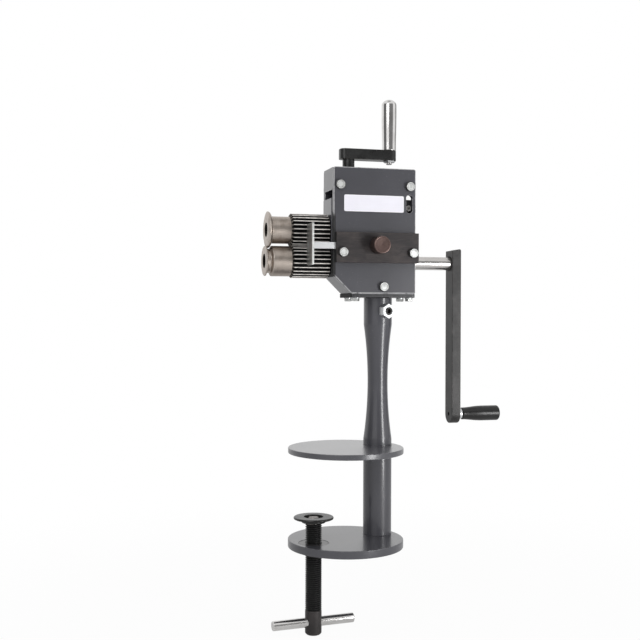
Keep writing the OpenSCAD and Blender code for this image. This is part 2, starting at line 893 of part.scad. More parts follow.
module gauge_rail() {
    color(brown_steel) on_column() difference() {
        box_between(
            [rail_left, rail_front, rail_z - rail_h / 2],
            [rail_right, front_y, rail_z + rail_h / 2]
        );
        box_between(
            [left_x - overrun, gauge_bar_front - channel_play, gauge_z - gauge_bar_h / 2 - channel_play],
            [rail_right + overrun, front_y + overrun, gauge_z + gauge_bar_h / 2 + channel_play]
        );
        rail_bolt_holes(rail_front - overrun, front_y + overrun);
        translate([gauge_knob_x, front_y, gauge_knob_z]) to_front()
            cylinder(r = knob_stud_r + running_fit, h = rail_t + overrun);
    }
}

module rail_bolts() {
    color(zinc) on_column() for (x = rail_bolts_x) {
        translate([x, rail_front, rail_bolt_z]) rotate([-90, 0, 0])
            bolt(bolt_r, bolt_af, bolt_head_h, rail_t + plate_t + rail_bolt_grip);
    }
}

// Bearing slide

module slide_block() {
    color(paint) on_column() difference() {
        union() {
            box_between(
                [slide_left, -slide_y + groove_w, slide_bottom], [slide_right, slide_y, slide_top]
            );
            box_between(
                [slide_left + groove_w, -slide_y, slide_bottom], [slide_right, slide_y, slide_top]
            );
        }
        bush_bore(slide_left, slide_right, upper_z);
        translate([adjust_x, 0, pocket_z]) cylinder(r = pocket_r, h = slide_top - pocket_z + overrun);
        box_between(
            [adjust_x - keeper_w / 2 - seat, -keeper_depth / 2 - seat, slide_top - keeper_t],
            [adjust_x + keeper_w / 2 + seat, keeper_depth / 2 + seat, slide_top + overrun]
        );
        for (sx = [-1, 1]) {
            translate([adjust_x + sx * keeper_screw_x, 0, slide_top - keeper_screw_l])
                cylinder(r = keeper_screw_r + seat, h = keeper_screw_l + overrun);
        }
        translate([slot_x, -slide_y + guide_l, guide_z]) to_front()
            cylinder(r = guide_r + seat, h = guide_l + overrun);
    }
}

module upper_bushes() {
    color(bronze) on_column() {
        translate([slide_left, 0, upper_z]) bush(bush_flange_t);
        translate([slide_right - bush_l, 0, upper_z]) bush(0);
    }
}

module guide_screw() {
    color(black_steel) on_column() translate([slot_x, -slide_y, guide_z]) rotate([-90, 0, 0])
        socket_screw(guide_r, guide_head_r, guide_head_h, guide_l, guide_socket_af, guide_socket_depth);
}

// Plate with an open slot that holds the screw's neck down, let into the slide's top
module keeper_plate() {
    color(bright_steel) on_column() translate([adjust_x, 0, slide_top - keeper_t]) difference() {
        translate([-keeper_w / 2, -keeper_depth / 2, 0]) cube([keeper_w, keeper_depth, keeper_t]);
        translate([0, 0, -overrun]) cylinder(r = neck_r + face_gap, h = keeper_t + 2 * overrun);
        translate([-neck_r - face_gap, 0, -overrun])
            cube([2 * (neck_r + face_gap), keeper_depth, keeper_t + 2 * overrun]);
        for (sx = [-1, 1]) {
            translate([sx * keeper_screw_x, 0, -overrun])
                cylinder(r = keeper_screw_r + seat, h = keeper_t + 2 * overrun);
            translate([sx * keeper_screw_x, 0, keeper_t / 2])
                cylinder(r = keeper_screw_head_r + seat, h = keeper_t);
        }
    }
}

module keeper_screws() {
    color(zinc) on_column() for (sx = [-1, 1]) {
        translate([adjust_x + sx * keeper_screw_x, 0, slide_top - keeper_screw_l]) union() {
            cylinder(r = keeper_screw_r, h = keeper_screw_l - keeper_t / 2);
            translate([0, 0, keeper_screw_l - keeper_t / 2])
                cylinder(r = keeper_screw_head_r, h = keeper_t / 2);
        }
    }
}

// Shafts and rolls

// A key's slot along the bottom of a shaft, at the height of the axis
module key_block(low_x, high_x, play) {
    box_between(
        [low_x - play, -key_w / 2 - play, -shaft_r - key_out - play],
        [high_x + play, key_w / 2 + play, -shaft_r + key_in + play]
    );
}

// A shaft from its left end, with its key slot and the groove of its retaining ring
module shaft(low_x, high_x, key_low, key_high, ring_x) {
    difference() {
        translate([low_x, 0, 0]) along_x() cylinder(r = shaft_r, h = high_x - low_x);
        key_block(key_low, key_high, seat);
        translate([low_x - overrun, 0, 0]) along_x()
            cylinder(r = roll_screw_r + seat, h = roll_screw_l + overrun);
        translate([ring_x, 0, 0]) along_x() difference() {
            cylinder(r = shaft_r + overrun, h = ring_t + ring_play);
            translate([0, 0, -overrun]) cylinder(r = ring_groove_r, h = ring_t + ring_play + 2 * overrun);
        }
    }
}

// Snap ring with an open end and two eyes
module retaining_ring() {
    along_x() difference() {
        union() {
            cylinder(r = ring_r, h = ring_t);
            for (s = [-1, 1]) {
                translate([s * ring_eye_x, ring_r, 0]) cylinder(r = ring_eye_r, h = ring_t);
            }
        }
        translate([0, 0, -overrun]) cylinder(r = ring_groove_r + seat, h = ring_t + 2 * overrun);
        translate([-ring_open_w / 2, 0, -overrun]) cube([ring_open_w, 2 * ring_r, ring_t + 2 * overrun]);
        for (s = [-1, 1]) {
            translate([s * ring_eye_x, ring_r, -overrun])
                cylinder(r = ring_eye_hole_r, h = ring_t + 2 * overrun);
        }
    }
}

// Polar angle that an involute has unwound at a radius
function involute_angle(r) = let (a = acos(min(1, base_circle_r / r))) tan(a) * 180 / PI - a;

// Half of a tooth's angle at a radius, straight below the base circle
function half_tooth(r) =
    tooth_thickness / (2 * pitch_r) * 180 / PI
    + involute_angle(pitch_r) - involute_angle(max(r, base_circle_r));

function polar(r, a) = [r * cos(a), r * sin(a)];

function tooth_points(mid) = let (
    flank_low = max(root_r, base_circle_r),
    radii = [for (s = flank_shares) flank_low + s * (tip_r - flank_low)]
) concat(
    [polar(root_r, mid - half_tooth(root_r) - root_spread)],
    [for (r = radii) polar(r, mid - half_tooth(r))],
    [for (i = [len(radii) - 1 : -1 : 0]) polar(radii[i], mid + half_tooth(radii[i]))],
    [polar(root_r, mid + half_tooth(root_r) + root_spread)]
);

// Outline of a toothed roll whose first tooth stands at an angle
module gear_outline(first) {
    polygon([for (i = [0 : roll_teeth - 1]) each tooth_points(first + i * 360 / roll_teeth)]);
}

// Toothed roll along x, bevelled at both ends, with its bore and key slot
module crimp_roll(left, first) {
    difference() {
        intersection() {
            translate([left, 0, 0]) along_x() linear_extrude(crimp_roll_l) gear_outline(first);
            translate([left, 0, 0]) along_x() rotate_extrude() polygon([
                [0, 0], [tip_r - outer_bevel_depth, 0], [tip_r + tip_clear, outer_bevel],
                [tip_r + tip_clear, crimp_roll_l - inner_bevel],
                [tip_r - inner_bevel_depth, crimp_roll_l], [0, crimp_roll_l]
            ]);
        }
        translate([left - overrun, 0, 0]) along_x()
            cylinder(r = shaft_r + seat, h = crimp_roll_l + 2 * overrun);
        key_block(left - overrun, left + crimp_roll_l + overrun, seat);
    }
}

// Screw that holds the rolls on a shaft's end, with its seat at x = 0
module roll_screw() {
    along_x() socket_screw(
        roll_screw_r, roll_screw_head_r, roll_screw_head_h, roll_screw_l, roll_socket_af, roll_socket_depth
    );
}

// Bore of a bead roll: end recess, web hole for the screw, shaft bore and key slot
module bead_roll_bore(left, l) {
    translate([left - overrun, 0, 0]) along_x() cylinder(d = roll_recess_d, h = recess_depth + overrun);
    translate([left, 0, 0]) along_x() cylinder(r = roll_screw_r + face_gap, h = l);
    translate([left + shaft_end_in, 0, 0]) along_x()
        cylinder(r = shaft_r + seat, h = l - shaft_end_in + overrun);
    key_block(left + shaft_end_in + key_end, left + l + overrun, seat);
}

// Round bead that falls from the flange's rim to the body
function bead_curve() = let (
    fall = upper_bead_r - upper_body_r,
    run = bead_end - flange_rise
) [for (i = [0 : bead_steps]) let (a = 90 * i / bead_steps)
    [upper_body_r + fall * cos(a), flange_rise + run * sin(a)]];

module upper_bead_outline() {
    polygon(concat(
        [[0, 0], [flange_face_r, 0]],
        bead_curve(),
        [[upper_body_r, upper_bead_l], [0, upper_bead_l]]
    ));
}

module lower_bead_outline() {
    polygon([
        [0, 0], [lower_flange_r - rim_ease, 0], [lower_flange_r, rim_ease],
        [lower_flange_r, lower_flange_l], [groove_r, groove_in], [groove_r, groove_out],
        [lower_body_r, body_start], [lower_body_r, lower_bead_l], [0, lower_bead_l]
    ]);
}

module on_upper_axis() {
    on_column() translate([0, 0, upper_z]) children();
}

module on_lower_axis() {
    on_column() translate([0, 0, lower_z]) children();
}

module upper_shaft() {
    color(bright_steel) on_upper_axis() shaft(
        upper_roll_left + shaft_end_in, slide_right + shaft_over,
        upper_roll_left + shaft_end_in + key_end, upper_roll_right - key_end, slide_right + ring_play
    );
}

module upper_bead_roll() {
    color(bare_steel) on_upper_axis() difference() {
        translate([upper_roll_left, 0, 0]) along_x() rotate_extrude() upper_bead_outline();
        bead_roll_bore(upper_roll_left, upper_bead_l);
    }
}

module upper_crimp_roll() {
    color(bare_steel) on_upper_axis() crimp_roll(upper_gear_left, -90 + 180 / roll_teeth + tooth_turn);
}

module upper_key() {
    color(black_steel) on_upper_axis()
        key_block(upper_roll_left + shaft_end_in + key_end, upper_roll_right - key_end, 0);
}

module upper_roll_screw() {
    color(black_steel) on_upper_axis() translate([upper_roll_left + recess_depth, 0, 0]) roll_screw();
}

module upper_retaining_ring() {
    color(black_steel) on_upper_axis()
        translate([slide_right + ring_play + ring_side_gap, 0, 0]) retaining_ring();
}

module lower_shaft() {
    color(bright_steel) on_lower_axis() shaft(
        lower_roll_left + shaft_end_in, arm_right - face_gap,
        lower_roll_left + shaft_end_in + key_end, lower_roll_right - key_end, right_x + ring_play
    );
}

module lower_bead_roll() {
    color(bare_steel) on_lower_axis() difference() {
        translate([lower_roll_left, 0, 0]) along_x() rotate_extrude() lower_bead_outline();
        bead_roll_bore(lower_roll_left, lower_bead_l);
    }
}

module lower_crimp_roll() {
    color(bare_steel) on_lower_axis() crimp_roll(lower_gear_left, 90 - tooth_turn);
}

module lower_key() {
    color(black_steel) on_lower_axis()
        key_block(lower_roll_left + shaft_end_in + key_end, lower_roll_right - key_end, 0);
}

module lower_roll_screw() {
    color(black_steel) on_lower_axis() translate([lower_roll_left + recess_depth, 0, 0]) roll_screw();
}

module lower_retaining_ring() {
    color(black_steel) on_lower_axis()
        translate([right_x + ring_play + ring_side_gap, 0, 0]) retaining_ring();
}

// Crank

// Flat bar with a round lower end and a square upper end that slopes up towards the grip
module crank_arm() {
    color(black_steel) on_lower_axis() difference() {
        intersection() {
            translate([arm_left, 0, 0]) along_x() linear_extrude(arm_t) union() {
                translate([0, -crank_r]) circle(arm_r);
                translate([-arm_r, -crank_r]) square([arm_w, crank_r + arm_top]);
            }
            translate([0, arm_w, 0]) to_front() linear_extrude(2 * arm_w) union() {
                polygon([
                    [arm_left, -crank_r - arm_w], [arm_right, -crank_r - arm_w],
                    [arm_right, arm_top - arm_round], [arm_right - arm_round, arm_top],
                    [arm_left, arm_top - arm_bevel]
                ]);
                translate([arm_right - arm_round, arm_top - arm_round]) circle(arm_round);
            }
        }
        translate([arm_left - overrun, 0, 0]) along_x() cylinder(r = shaft_r + seat, h = arm_t + 2 * overrun);
        translate([arm_left - overrun, 0, 0]) along_x()
            cylinder(r1 = shaft_r + bore_chamfer + overrun, r2 = shaft_r, h = bore_chamfer + overrun);
        translate([arm_left + arm_t / 2, 0, 0]) cylinder(r = arm_screw_r + seat, h = arm_w + arm_top);
        translate([arm_left - overrun, 0, -crank_r]) along_x()
            cylinder(r = stud_hole_r, h = arm_t + 2 * overrun);
        translate([arm_left + stud_wall, 0, -crank_r]) along_x() cylinder(r = stud_r + seat, h = arm_t);
    }
}

module arm_grub_screw() {
    color(black_steel) on_lower_axis()
        translate([arm_left + arm_t / 2, 0, shaft_r + face_gap + arm_screw_l])
        mirror([0, 0, 1]) grub_screw(arm_screw_r, arm_screw_l, arm_socket_af, arm_socket_depth);
}

module grip_spindle() {
    pin_end = grip_right - head_recess + face_gap;
    color(zinc) on_lower_axis() translate([0, 0, -crank_r]) difference() {
        union() {
            translate([arm_left + stud_wall + face_gap, 0, 0]) along_x()
                cylinder(r = stud_r, h = arm_t);
            translate([arm_right, 0, 0]) along_x() cylinder(d = collar_d, h = collar_l);
            translate([arm_right + collar_l, 0, 0]) along_x()
                cylinder(r = spindle_r, h = pin_end - arm_right - collar_l + spindle_head_h / 2);
            translate([pin_end, 0, 0]) along_x() cylinder(r = spindle_head_r, h = spindle_head_h);
        }
        box_between(
            [pin_end + spindle_head_h - slot_cut_depth, -spindle_head_r - overrun, -slot_cut_w / 2],
            [pin_end + spindle_head_h + overrun, spindle_head_r + overrun, slot_cut_w / 2]
        );
    }
}

// Half outline of the grip along its length: a slim foot that swells to a straight barrel
function grip_curve() = [for (i = [0 : len(grip_swell_shares) - 1])
    [grip_base_d / 2 + grip_swell_size_shares[i] * (grip_d - grip_base_d) / 2,
        grip_swell_shares[i] * (grip_l - grip_round)]];

module crank_grip() {
    color(bakelite) on_lower_axis() translate([grip_left, 0, -crank_r]) along_x() difference() {
        rotate_extrude() difference() {
            union() {
                polygon(concat([[0, 0]], grip_curve(), [[0, grip_l - grip_round]]));
                translate([grip_d / 2 - grip_round, grip_l - grip_round]) circle(grip_round);
                translate([0, grip_l - grip_round - overrun])
                    square([grip_d / 2 - grip_round, grip_round + overrun]);
            }
            translate([-grip_d, 0]) square([grip_d, grip_l]);
        }
        translate([0, 0, -overrun]) cylinder(r = spindle_r + running_fit, h = grip_l + 2 * overrun);
        translate([0, 0, grip_l - head_recess])
            cylinder(r = spindle_head_r + face_gap, h = head_recess + overrun);
    }
}

// Adjusting crank

module on_adjust_axis() {
    on_column() translate([adjust_x, 0, 0]) children();
}

// Hole for the grub screw, half in the screw's nose and half in the arm
module grub_hole() {
    translate([-adjust_nose_r, 0, grub_top - grub_l - face_gap])
        cylinder(r = grub_r + seat, h = grub_l + adjust_arm_t);
}

module adjust_screw() {
    foot_z = pocket_z + face_gap;
    thread_z = slide_top + 2 * face_gap;
    color(black_steel) on_adjust_axis() difference() {
        union() {
            translate([0, 0, foot_z]) cylinder(r = foot_r, h = foot_h);
            translate([0, 0, foot_z + foot_h / 2]) cylinder(r = neck_r, h = thread_z - foot_z);
            translate([0, 0, thread_z]) cylinder(r = adjust_r, h = adjust_arm_z - thread_z);
            translate([0, 0, adjust_arm_z - overrun])
                cylinder(r = adjust_nose_r, h = adjust_arm_t + overrun - face_gap);
        }
        grub_hole();
    }
}

module adjust_arm() {
    arm_round_r = adjust_arm_w / 2;
    color(black_steel) on_adjust_axis() translate([0, 0, adjust_arm_z]) difference() {
        linear_extrude(adjust_arm_t) union() {
            translate([-adjust_arm_end + adjust_corner_r, -arm_round_r])
                square([adjust_arm_end - adjust_corner_r + adjust_arm_l, adjust_arm_w]);
            translate([-adjust_arm_end, -arm_round_r + adjust_corner_r])
                square([adjust_arm_end, adjust_arm_w - 2 * adjust_corner_r]);
            for (s = [-1, 1]) {
                translate([-adjust_arm_end + adjust_corner_r, s * (arm_round_r - adjust_corner_r)])
                    circle(adjust_corner_r);
            }
            translate([adjust_arm_l, 0]) circle(arm_round_r);
        }
        translate([0, 0, -overrun]) cylinder(r = adjust_nose_r + seat, h = adjust_arm_t + 2 * overrun);
        translate([adjust_arm_l, 0, -overrun])
            cylinder(r = handle_stud_r + seat, h = adjust_arm_t + 2 * overrun);
        translate([0, 0, -adjust_arm_z]) grub_hole();
    }
}

module adjust_grub_screw() {
    color(black_steel) on_adjust_axis()
        translate([-adjust_nose_r, 0, grub_top]) mirror([0, 0, 1])
        grub_screw(grub_r, grub_l, grub_socket_af, grub_socket_depth);
}

// Half outline of the polished handle: slim foot, slow swell and a round top
function knob_curve() = let (
    r0 = knob_base_d / 2,
    r1 = knob_d / 2,
    dome = knob_l - r1 * knob_dome_share
) concat(
    [[r0, 0], [r0, knob_l * knob_waist_share / 2]],
    [for (i = [1 : knob_steps]) let (s = i / knob_steps)
        [r0 + (r1 - r0) * (1 - cos(180 * s)) / 2, knob_l * (knob_waist_share / 2 + s * knob_full_share)]],
    [for (i = [0 : knob_steps]) let (a = 90 * i / knob_steps)
        [r1 * cos(a), dome + r1 * knob_dome_share * sin(a)]]
);

module adjust_handle() {
    stud_l = adjust_arm_t + handle_nut_h + stud_show;
    color(bright_steel) on_adjust_axis() translate([adjust_arm_l, 0, adjust_top]) union() {
        rotate_extrude() polygon(concat([[0, 0]], knob_curve()));
        translate([0, 0, -stud_l]) cylinder(r = handle_stud_r, h = stud_l + overrun);
    }
}

module handle_nut() {
    color(zinc) on_adjust_axis() translate([adjust_arm_l, 0, adjust_arm_z])
        mirror([0, 0, 1]) difference() {
            hex_head(handle_nut_af, handle_nut_h);
            translate([0, 0, -overrun]) cylinder(r = handle_stud_r + seat, h = handle_nut_h + 2 * overrun);
        }
}

// Gauge

module gauge_bar() {
    bar_x = gauge_stop_left + gauge_stop_t;
    color(zinc) on_column() difference() {
        box_between(
            [bar_x, gauge_bar_front, gauge_z - gauge_bar_h / 2],
            [bar_x + gauge_bar_l, gauge_bar_front + gauge_bar_t, gauge_z + gauge_bar_h / 2]
        );
        translate([bar_x - overrun, gauge_bar_front + gauge_bar_t / 2, gauge_z]) along_x()
            cylinder(r = stop_screw_r + seat, h = stop_screw_l + overrun);
    }
}

module gauge_stop() {
    color(zinc) on_column() difference() {
        box_between(
            [gauge_stop_left, gauge_stop_y, gauge_stop_z - gauge_stop_h / 2],
            [gauge_stop_left + gauge_stop_t, gauge_stop_y + gauge_stop_w, gauge_stop_z + gauge_stop_h / 2]
        );
        translate([gauge_stop_left - overrun, gauge_bar_front + gauge_bar_t / 2, gauge_z]) along_x()
            cylinder(r = stop_screw_r + seat, h = gauge_stop_t + 2 * overrun);
        translate([gauge_stop_left - face_gap, gauge_bar_front + gauge_bar_t / 2, gauge_z]) along_x()
            cylinder(
                r1 = stop_screw_head_r + face_gap, r2 = stop_screw_r,
                h = stop_screw_head_r - stop_screw_r + face_gap
            );
    }
}

module gauge_stop_screw() {
    head_h = stop_screw_head_r - stop_screw_r;
    color(zinc) on_column() translate([gauge_stop_left, gauge_bar_front + gauge_bar_t / 2, gauge_z])
        along_x() union() {
            cylinder(r1 = stop_screw_head_r - seat, r2 = stop_screw_r - seat, h = head_h);
            translate([0, 0, head_h / 2]) cylinder(r = stop_screw_r - seat, h = stop_screw_l - head_h);
        }
}

module gauge_knob() {
    color(brown_steel) on_column() translate([gauge_knob_x, rail_front - knob_gap, gauge_knob_z]) union() {
        to_front() rotate_extrude() polygon([
            [0, 0], [gauge_knob_d / 2 - knob_chamfer, 0], [gauge_knob_d / 2, knob_chamfer],
            [gauge_knob_d / 2, gauge_knob_l - knob_chamfer], [gauge_knob_d / 2 - knob_chamfer, gauge_knob_l],
            [0, gauge_knob_l]
        ]);
        rotate([-90, 0, 0]) translate([0, 0, -overrun])
            cylinder(r = knob_stud_r, h = overrun + gauge_bar_front - rail_front + knob_gap - face_gap);
    }
}

// Bench clamp

module on_screw_axis() {
    translate([screw_x, screw_y, 0]) children();
}

module clamp_pad() {
    color(black_steel) on_screw_axis() difference() {
        rotate_extrude() polygon([
            [0, pad_bottom], [pad_collar_d / 2, pad_bottom], [pad_collar_d / 2, pad_top - pad_rim_t],
            [pad_d / 2 - rim_round, pad_top - pad_rim_t], [pad_d / 2, pad_top - pad_rim_t + rim_round],
            [pad_d / 2, pad_top - rim_round], [pad_d / 2 - rim_round, pad_top], [0, pad_top]
        ]);
        translate([0, 0, pad_bottom + pad_web_t]) cylinder(d = pad_recess_d, h = pad_recess_depth + overrun);
        translate([0, 0, pad_bottom - overrun])
            cylinder(r = nose_neck_r + running_fit, h = pad_web_t + 2 * overrun);
    }
}

module clamp_screw() {
    nose_z = pad_bottom + pad_web_t + face_gap;
    color(black_steel) on_screw_axis() difference() {
        union() {
            rotate_extrude() polygon([
                [0, screw_bottom], [clamp_screw_r - end_round, screw_bottom],
                [clamp_screw_r, screw_bottom + end_round], [clamp_screw_r, screw_top],
                [nose_neck_r, screw_top], [nose_neck_r, nose_z], [nose_r, nose_z],
                [nose_r * nose_top_share, nose_z + nose_h], [0, nose_z + nose_h]
            ]);
        }
        translate([0, 0, tommy_z]) rotate([0, 0, tommy_turn]) translate([-clamp_screw_d, 0, 0]) along_x()
            cylinder(r = tommy_d / 2 + seat, h = 2 * clamp_screw_d);
    }
}

module tommy_bar() {
    r = tommy_d / 2;
    color(bright_steel) on_screw_axis() translate([0, 0, tommy_z]) rotate([0, 0, tommy_turn])
        translate([-tommy_l / 2, 0, 0]) along_x() rotate_extrude() polygon([
            [0, 0], [r - tommy_chamfer, 0], [r, tommy_chamfer], [r, tommy_l - tommy_chamfer],
            [r - tommy_chamfer, tommy_l], [0, tommy_l]
        ]);
}

bench_disc();
clamp_disc();
column();
clamp_nut();
lock_nut();
lock_screw();
head_post();
base_plate();
base_washers();
base_bolts();
front_plate();
rear_plate();
top_block();
lower_block();
lower_bushes();
plate_bolts();
plate_nuts();
label_plate();
gauge_rail();
rail_bolts();
slide_block();
upper_bushes();
guide_screw();
keeper_plate();
keeper_screws();
upper_shaft();
upper_bead_roll();
upper_crimp_roll();
upper_key();
upper_roll_screw();
upper_retaining_ring();
lower_shaft();
lower_bead_roll();
lower_crimp_roll();
lower_key();
lower_roll_screw();
lower_retaining_ring();
crank_arm();
arm_grub_screw();
grip_spindle();
crank_grip();
adjust_screw();
adjust_arm();
adjust_grub_screw();
adjust_handle();
handle_nut();
gauge_bar();
gauge_stop();
gauge_stop_screw();
gauge_knob();
clamp_pad();
clamp_screw();
tommy_bar();
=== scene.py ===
import json
import logging
import math
from collections.abc import Callable, Iterator, Sequence
from contextlib import contextmanager
from dataclasses import dataclass, field
from enum import Enum

import bpy
from mathutils import Matrix, Vector


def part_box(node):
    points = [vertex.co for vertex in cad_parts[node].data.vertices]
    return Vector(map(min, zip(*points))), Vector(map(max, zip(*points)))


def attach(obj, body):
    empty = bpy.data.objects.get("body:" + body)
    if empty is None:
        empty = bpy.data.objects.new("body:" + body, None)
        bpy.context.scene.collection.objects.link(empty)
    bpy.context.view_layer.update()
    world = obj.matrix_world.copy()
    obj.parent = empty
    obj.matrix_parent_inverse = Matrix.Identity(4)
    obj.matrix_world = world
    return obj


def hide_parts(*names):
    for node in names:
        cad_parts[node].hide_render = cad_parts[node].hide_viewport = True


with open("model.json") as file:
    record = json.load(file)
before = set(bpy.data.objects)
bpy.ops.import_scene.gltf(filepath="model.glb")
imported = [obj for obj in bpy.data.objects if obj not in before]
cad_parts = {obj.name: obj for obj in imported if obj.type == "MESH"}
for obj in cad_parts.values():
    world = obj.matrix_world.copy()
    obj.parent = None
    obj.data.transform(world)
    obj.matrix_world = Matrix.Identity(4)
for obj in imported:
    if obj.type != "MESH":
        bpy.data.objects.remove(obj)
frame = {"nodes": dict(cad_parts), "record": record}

logging.basicConfig(level=logging.INFO, format="%(name)s: %(message)s")
log = logging.getLogger("crimper")

# Metres in a millimetre, and in the width of a sharp border between two looks
MM = 0.001
CRISP = 0.0002
# A place that no part of the object reaches
NOWHERE = -10.0
# Attribute that is 1 on eased edges, and on bolt heads' chamfers and sides, where their finish paints
# shade
EDGE = "edge"
# Vertices nearer than this, in metres, are one; faces turned less than this, in degrees, are one
SAME_PLACE = 2e-6
SAME_PLANE = 0.6
# Edges longer than this, in millimetres, are eased in full, and others by a share
LONG_EDGE = 30.0
SHORT_EDGE_SHARE = 0.25
# Weight of the large faces in the shading
PLAIN_WEIGHT = 60
FLAT_WEIGHT = 100

Piece = bpy.types.Object
Point = tuple[float, float]
Colour = tuple[float, float, float]
BODY_OF = {
    node: body
    for body, nodes in frame["record"]["behaviour"]["bodies"].items()
    for node in nodes
}


# Shader maths


class Value:
    """A number that changes over a surface; Python's operators add Math nodes to it."""

    def __init__(self, maker: "Maker", socket: bpy.types.NodeSocket) -> None:
        """Keeps the socket that gives the number and the maker of its tree."""
        self.maker = maker
        self.socket = socket

    def _math(self, operation: str, *terms: "Value | float", clamp: bool = False) -> "Value":
        """Adds one Math node.

        Args:
            operation: Operation of the node.
            terms: Its inputs in order.
            clamp: True to keep the result between 0 and 1.

        Returns:
            The node's result.
        """
        settings = {"operation": operation, "use_clamp": clamp}
        sockets = {index: term for index, term in enumerate(terms)}
        return self.maker.value("ShaderNodeMath", settings, sockets)

    def __add__(self, other: "Value | float") -> "Value":
        """Adds."""
        return self._math("ADD", self, other)

    def __radd__(self, other: float) -> "Value":
        """Adds, from the right."""
        return self._math("ADD", other, self)

    def __sub__(self, other: "Value | float") -> "Value":
        """Subtracts."""
        return self._math("SUBTRACT", self, other)

    def __rsub__(self, other: float) -> "Value":
        """Subtracts this value from a number."""
        return self._math("SUBTRACT", other, self)

    def __mul__(self, other: "Value | float") -> "Value":
        """Multiplies."""
        return self._math("MULTIPLY", self, other)

    def __rmul__(self, other: float) -> "Value":
        """Multiplies, from the right."""
        return self._math("MULTIPLY", other, self)

    def __truediv__(self, other: "Value | float") -> "Value":
        """Divides."""
        return self._math("DIVIDE", self, other)

    def __rtruediv__(self, other: float) -> "Value":
        """Divides a number by this value."""
        return self._math("DIVIDE", other, self)

    def of(self, operation: str, *terms: "Value | float") -> "Value":
        """Any other operation, with this value first."""
        return self._math(operation, self, *terms)

    def across(self, other: "Value") -> "Value":
        """Distance from the origin where this value and the other are at right angles."""
        return (self * self + other * other).of("SQRT")

    def clamped(self) -> "Value":
        """This value, kept between 0 and 1."""
        return self._math("ADD", self, 0.0, clamp=True)

    def between(self, low: float, high: float) -> "Value":
        """A smooth step.

        Args:
            low: Value at which the step starts.
            high: Value at which it is complete.

        Returns:
            0 below low, 1 above high, and a smooth rise in between.
        """
        sockets = {"Value": self, "From Min": low, "From Max": high}
        return self.maker.value(
            "ShaderNodeMapRange", {"interpolation_type": "SMOOTHSTEP"}, sockets
        )


Socket = bpy.types.NodeSocket
Input = Value | Socket | float | Sequence[float]


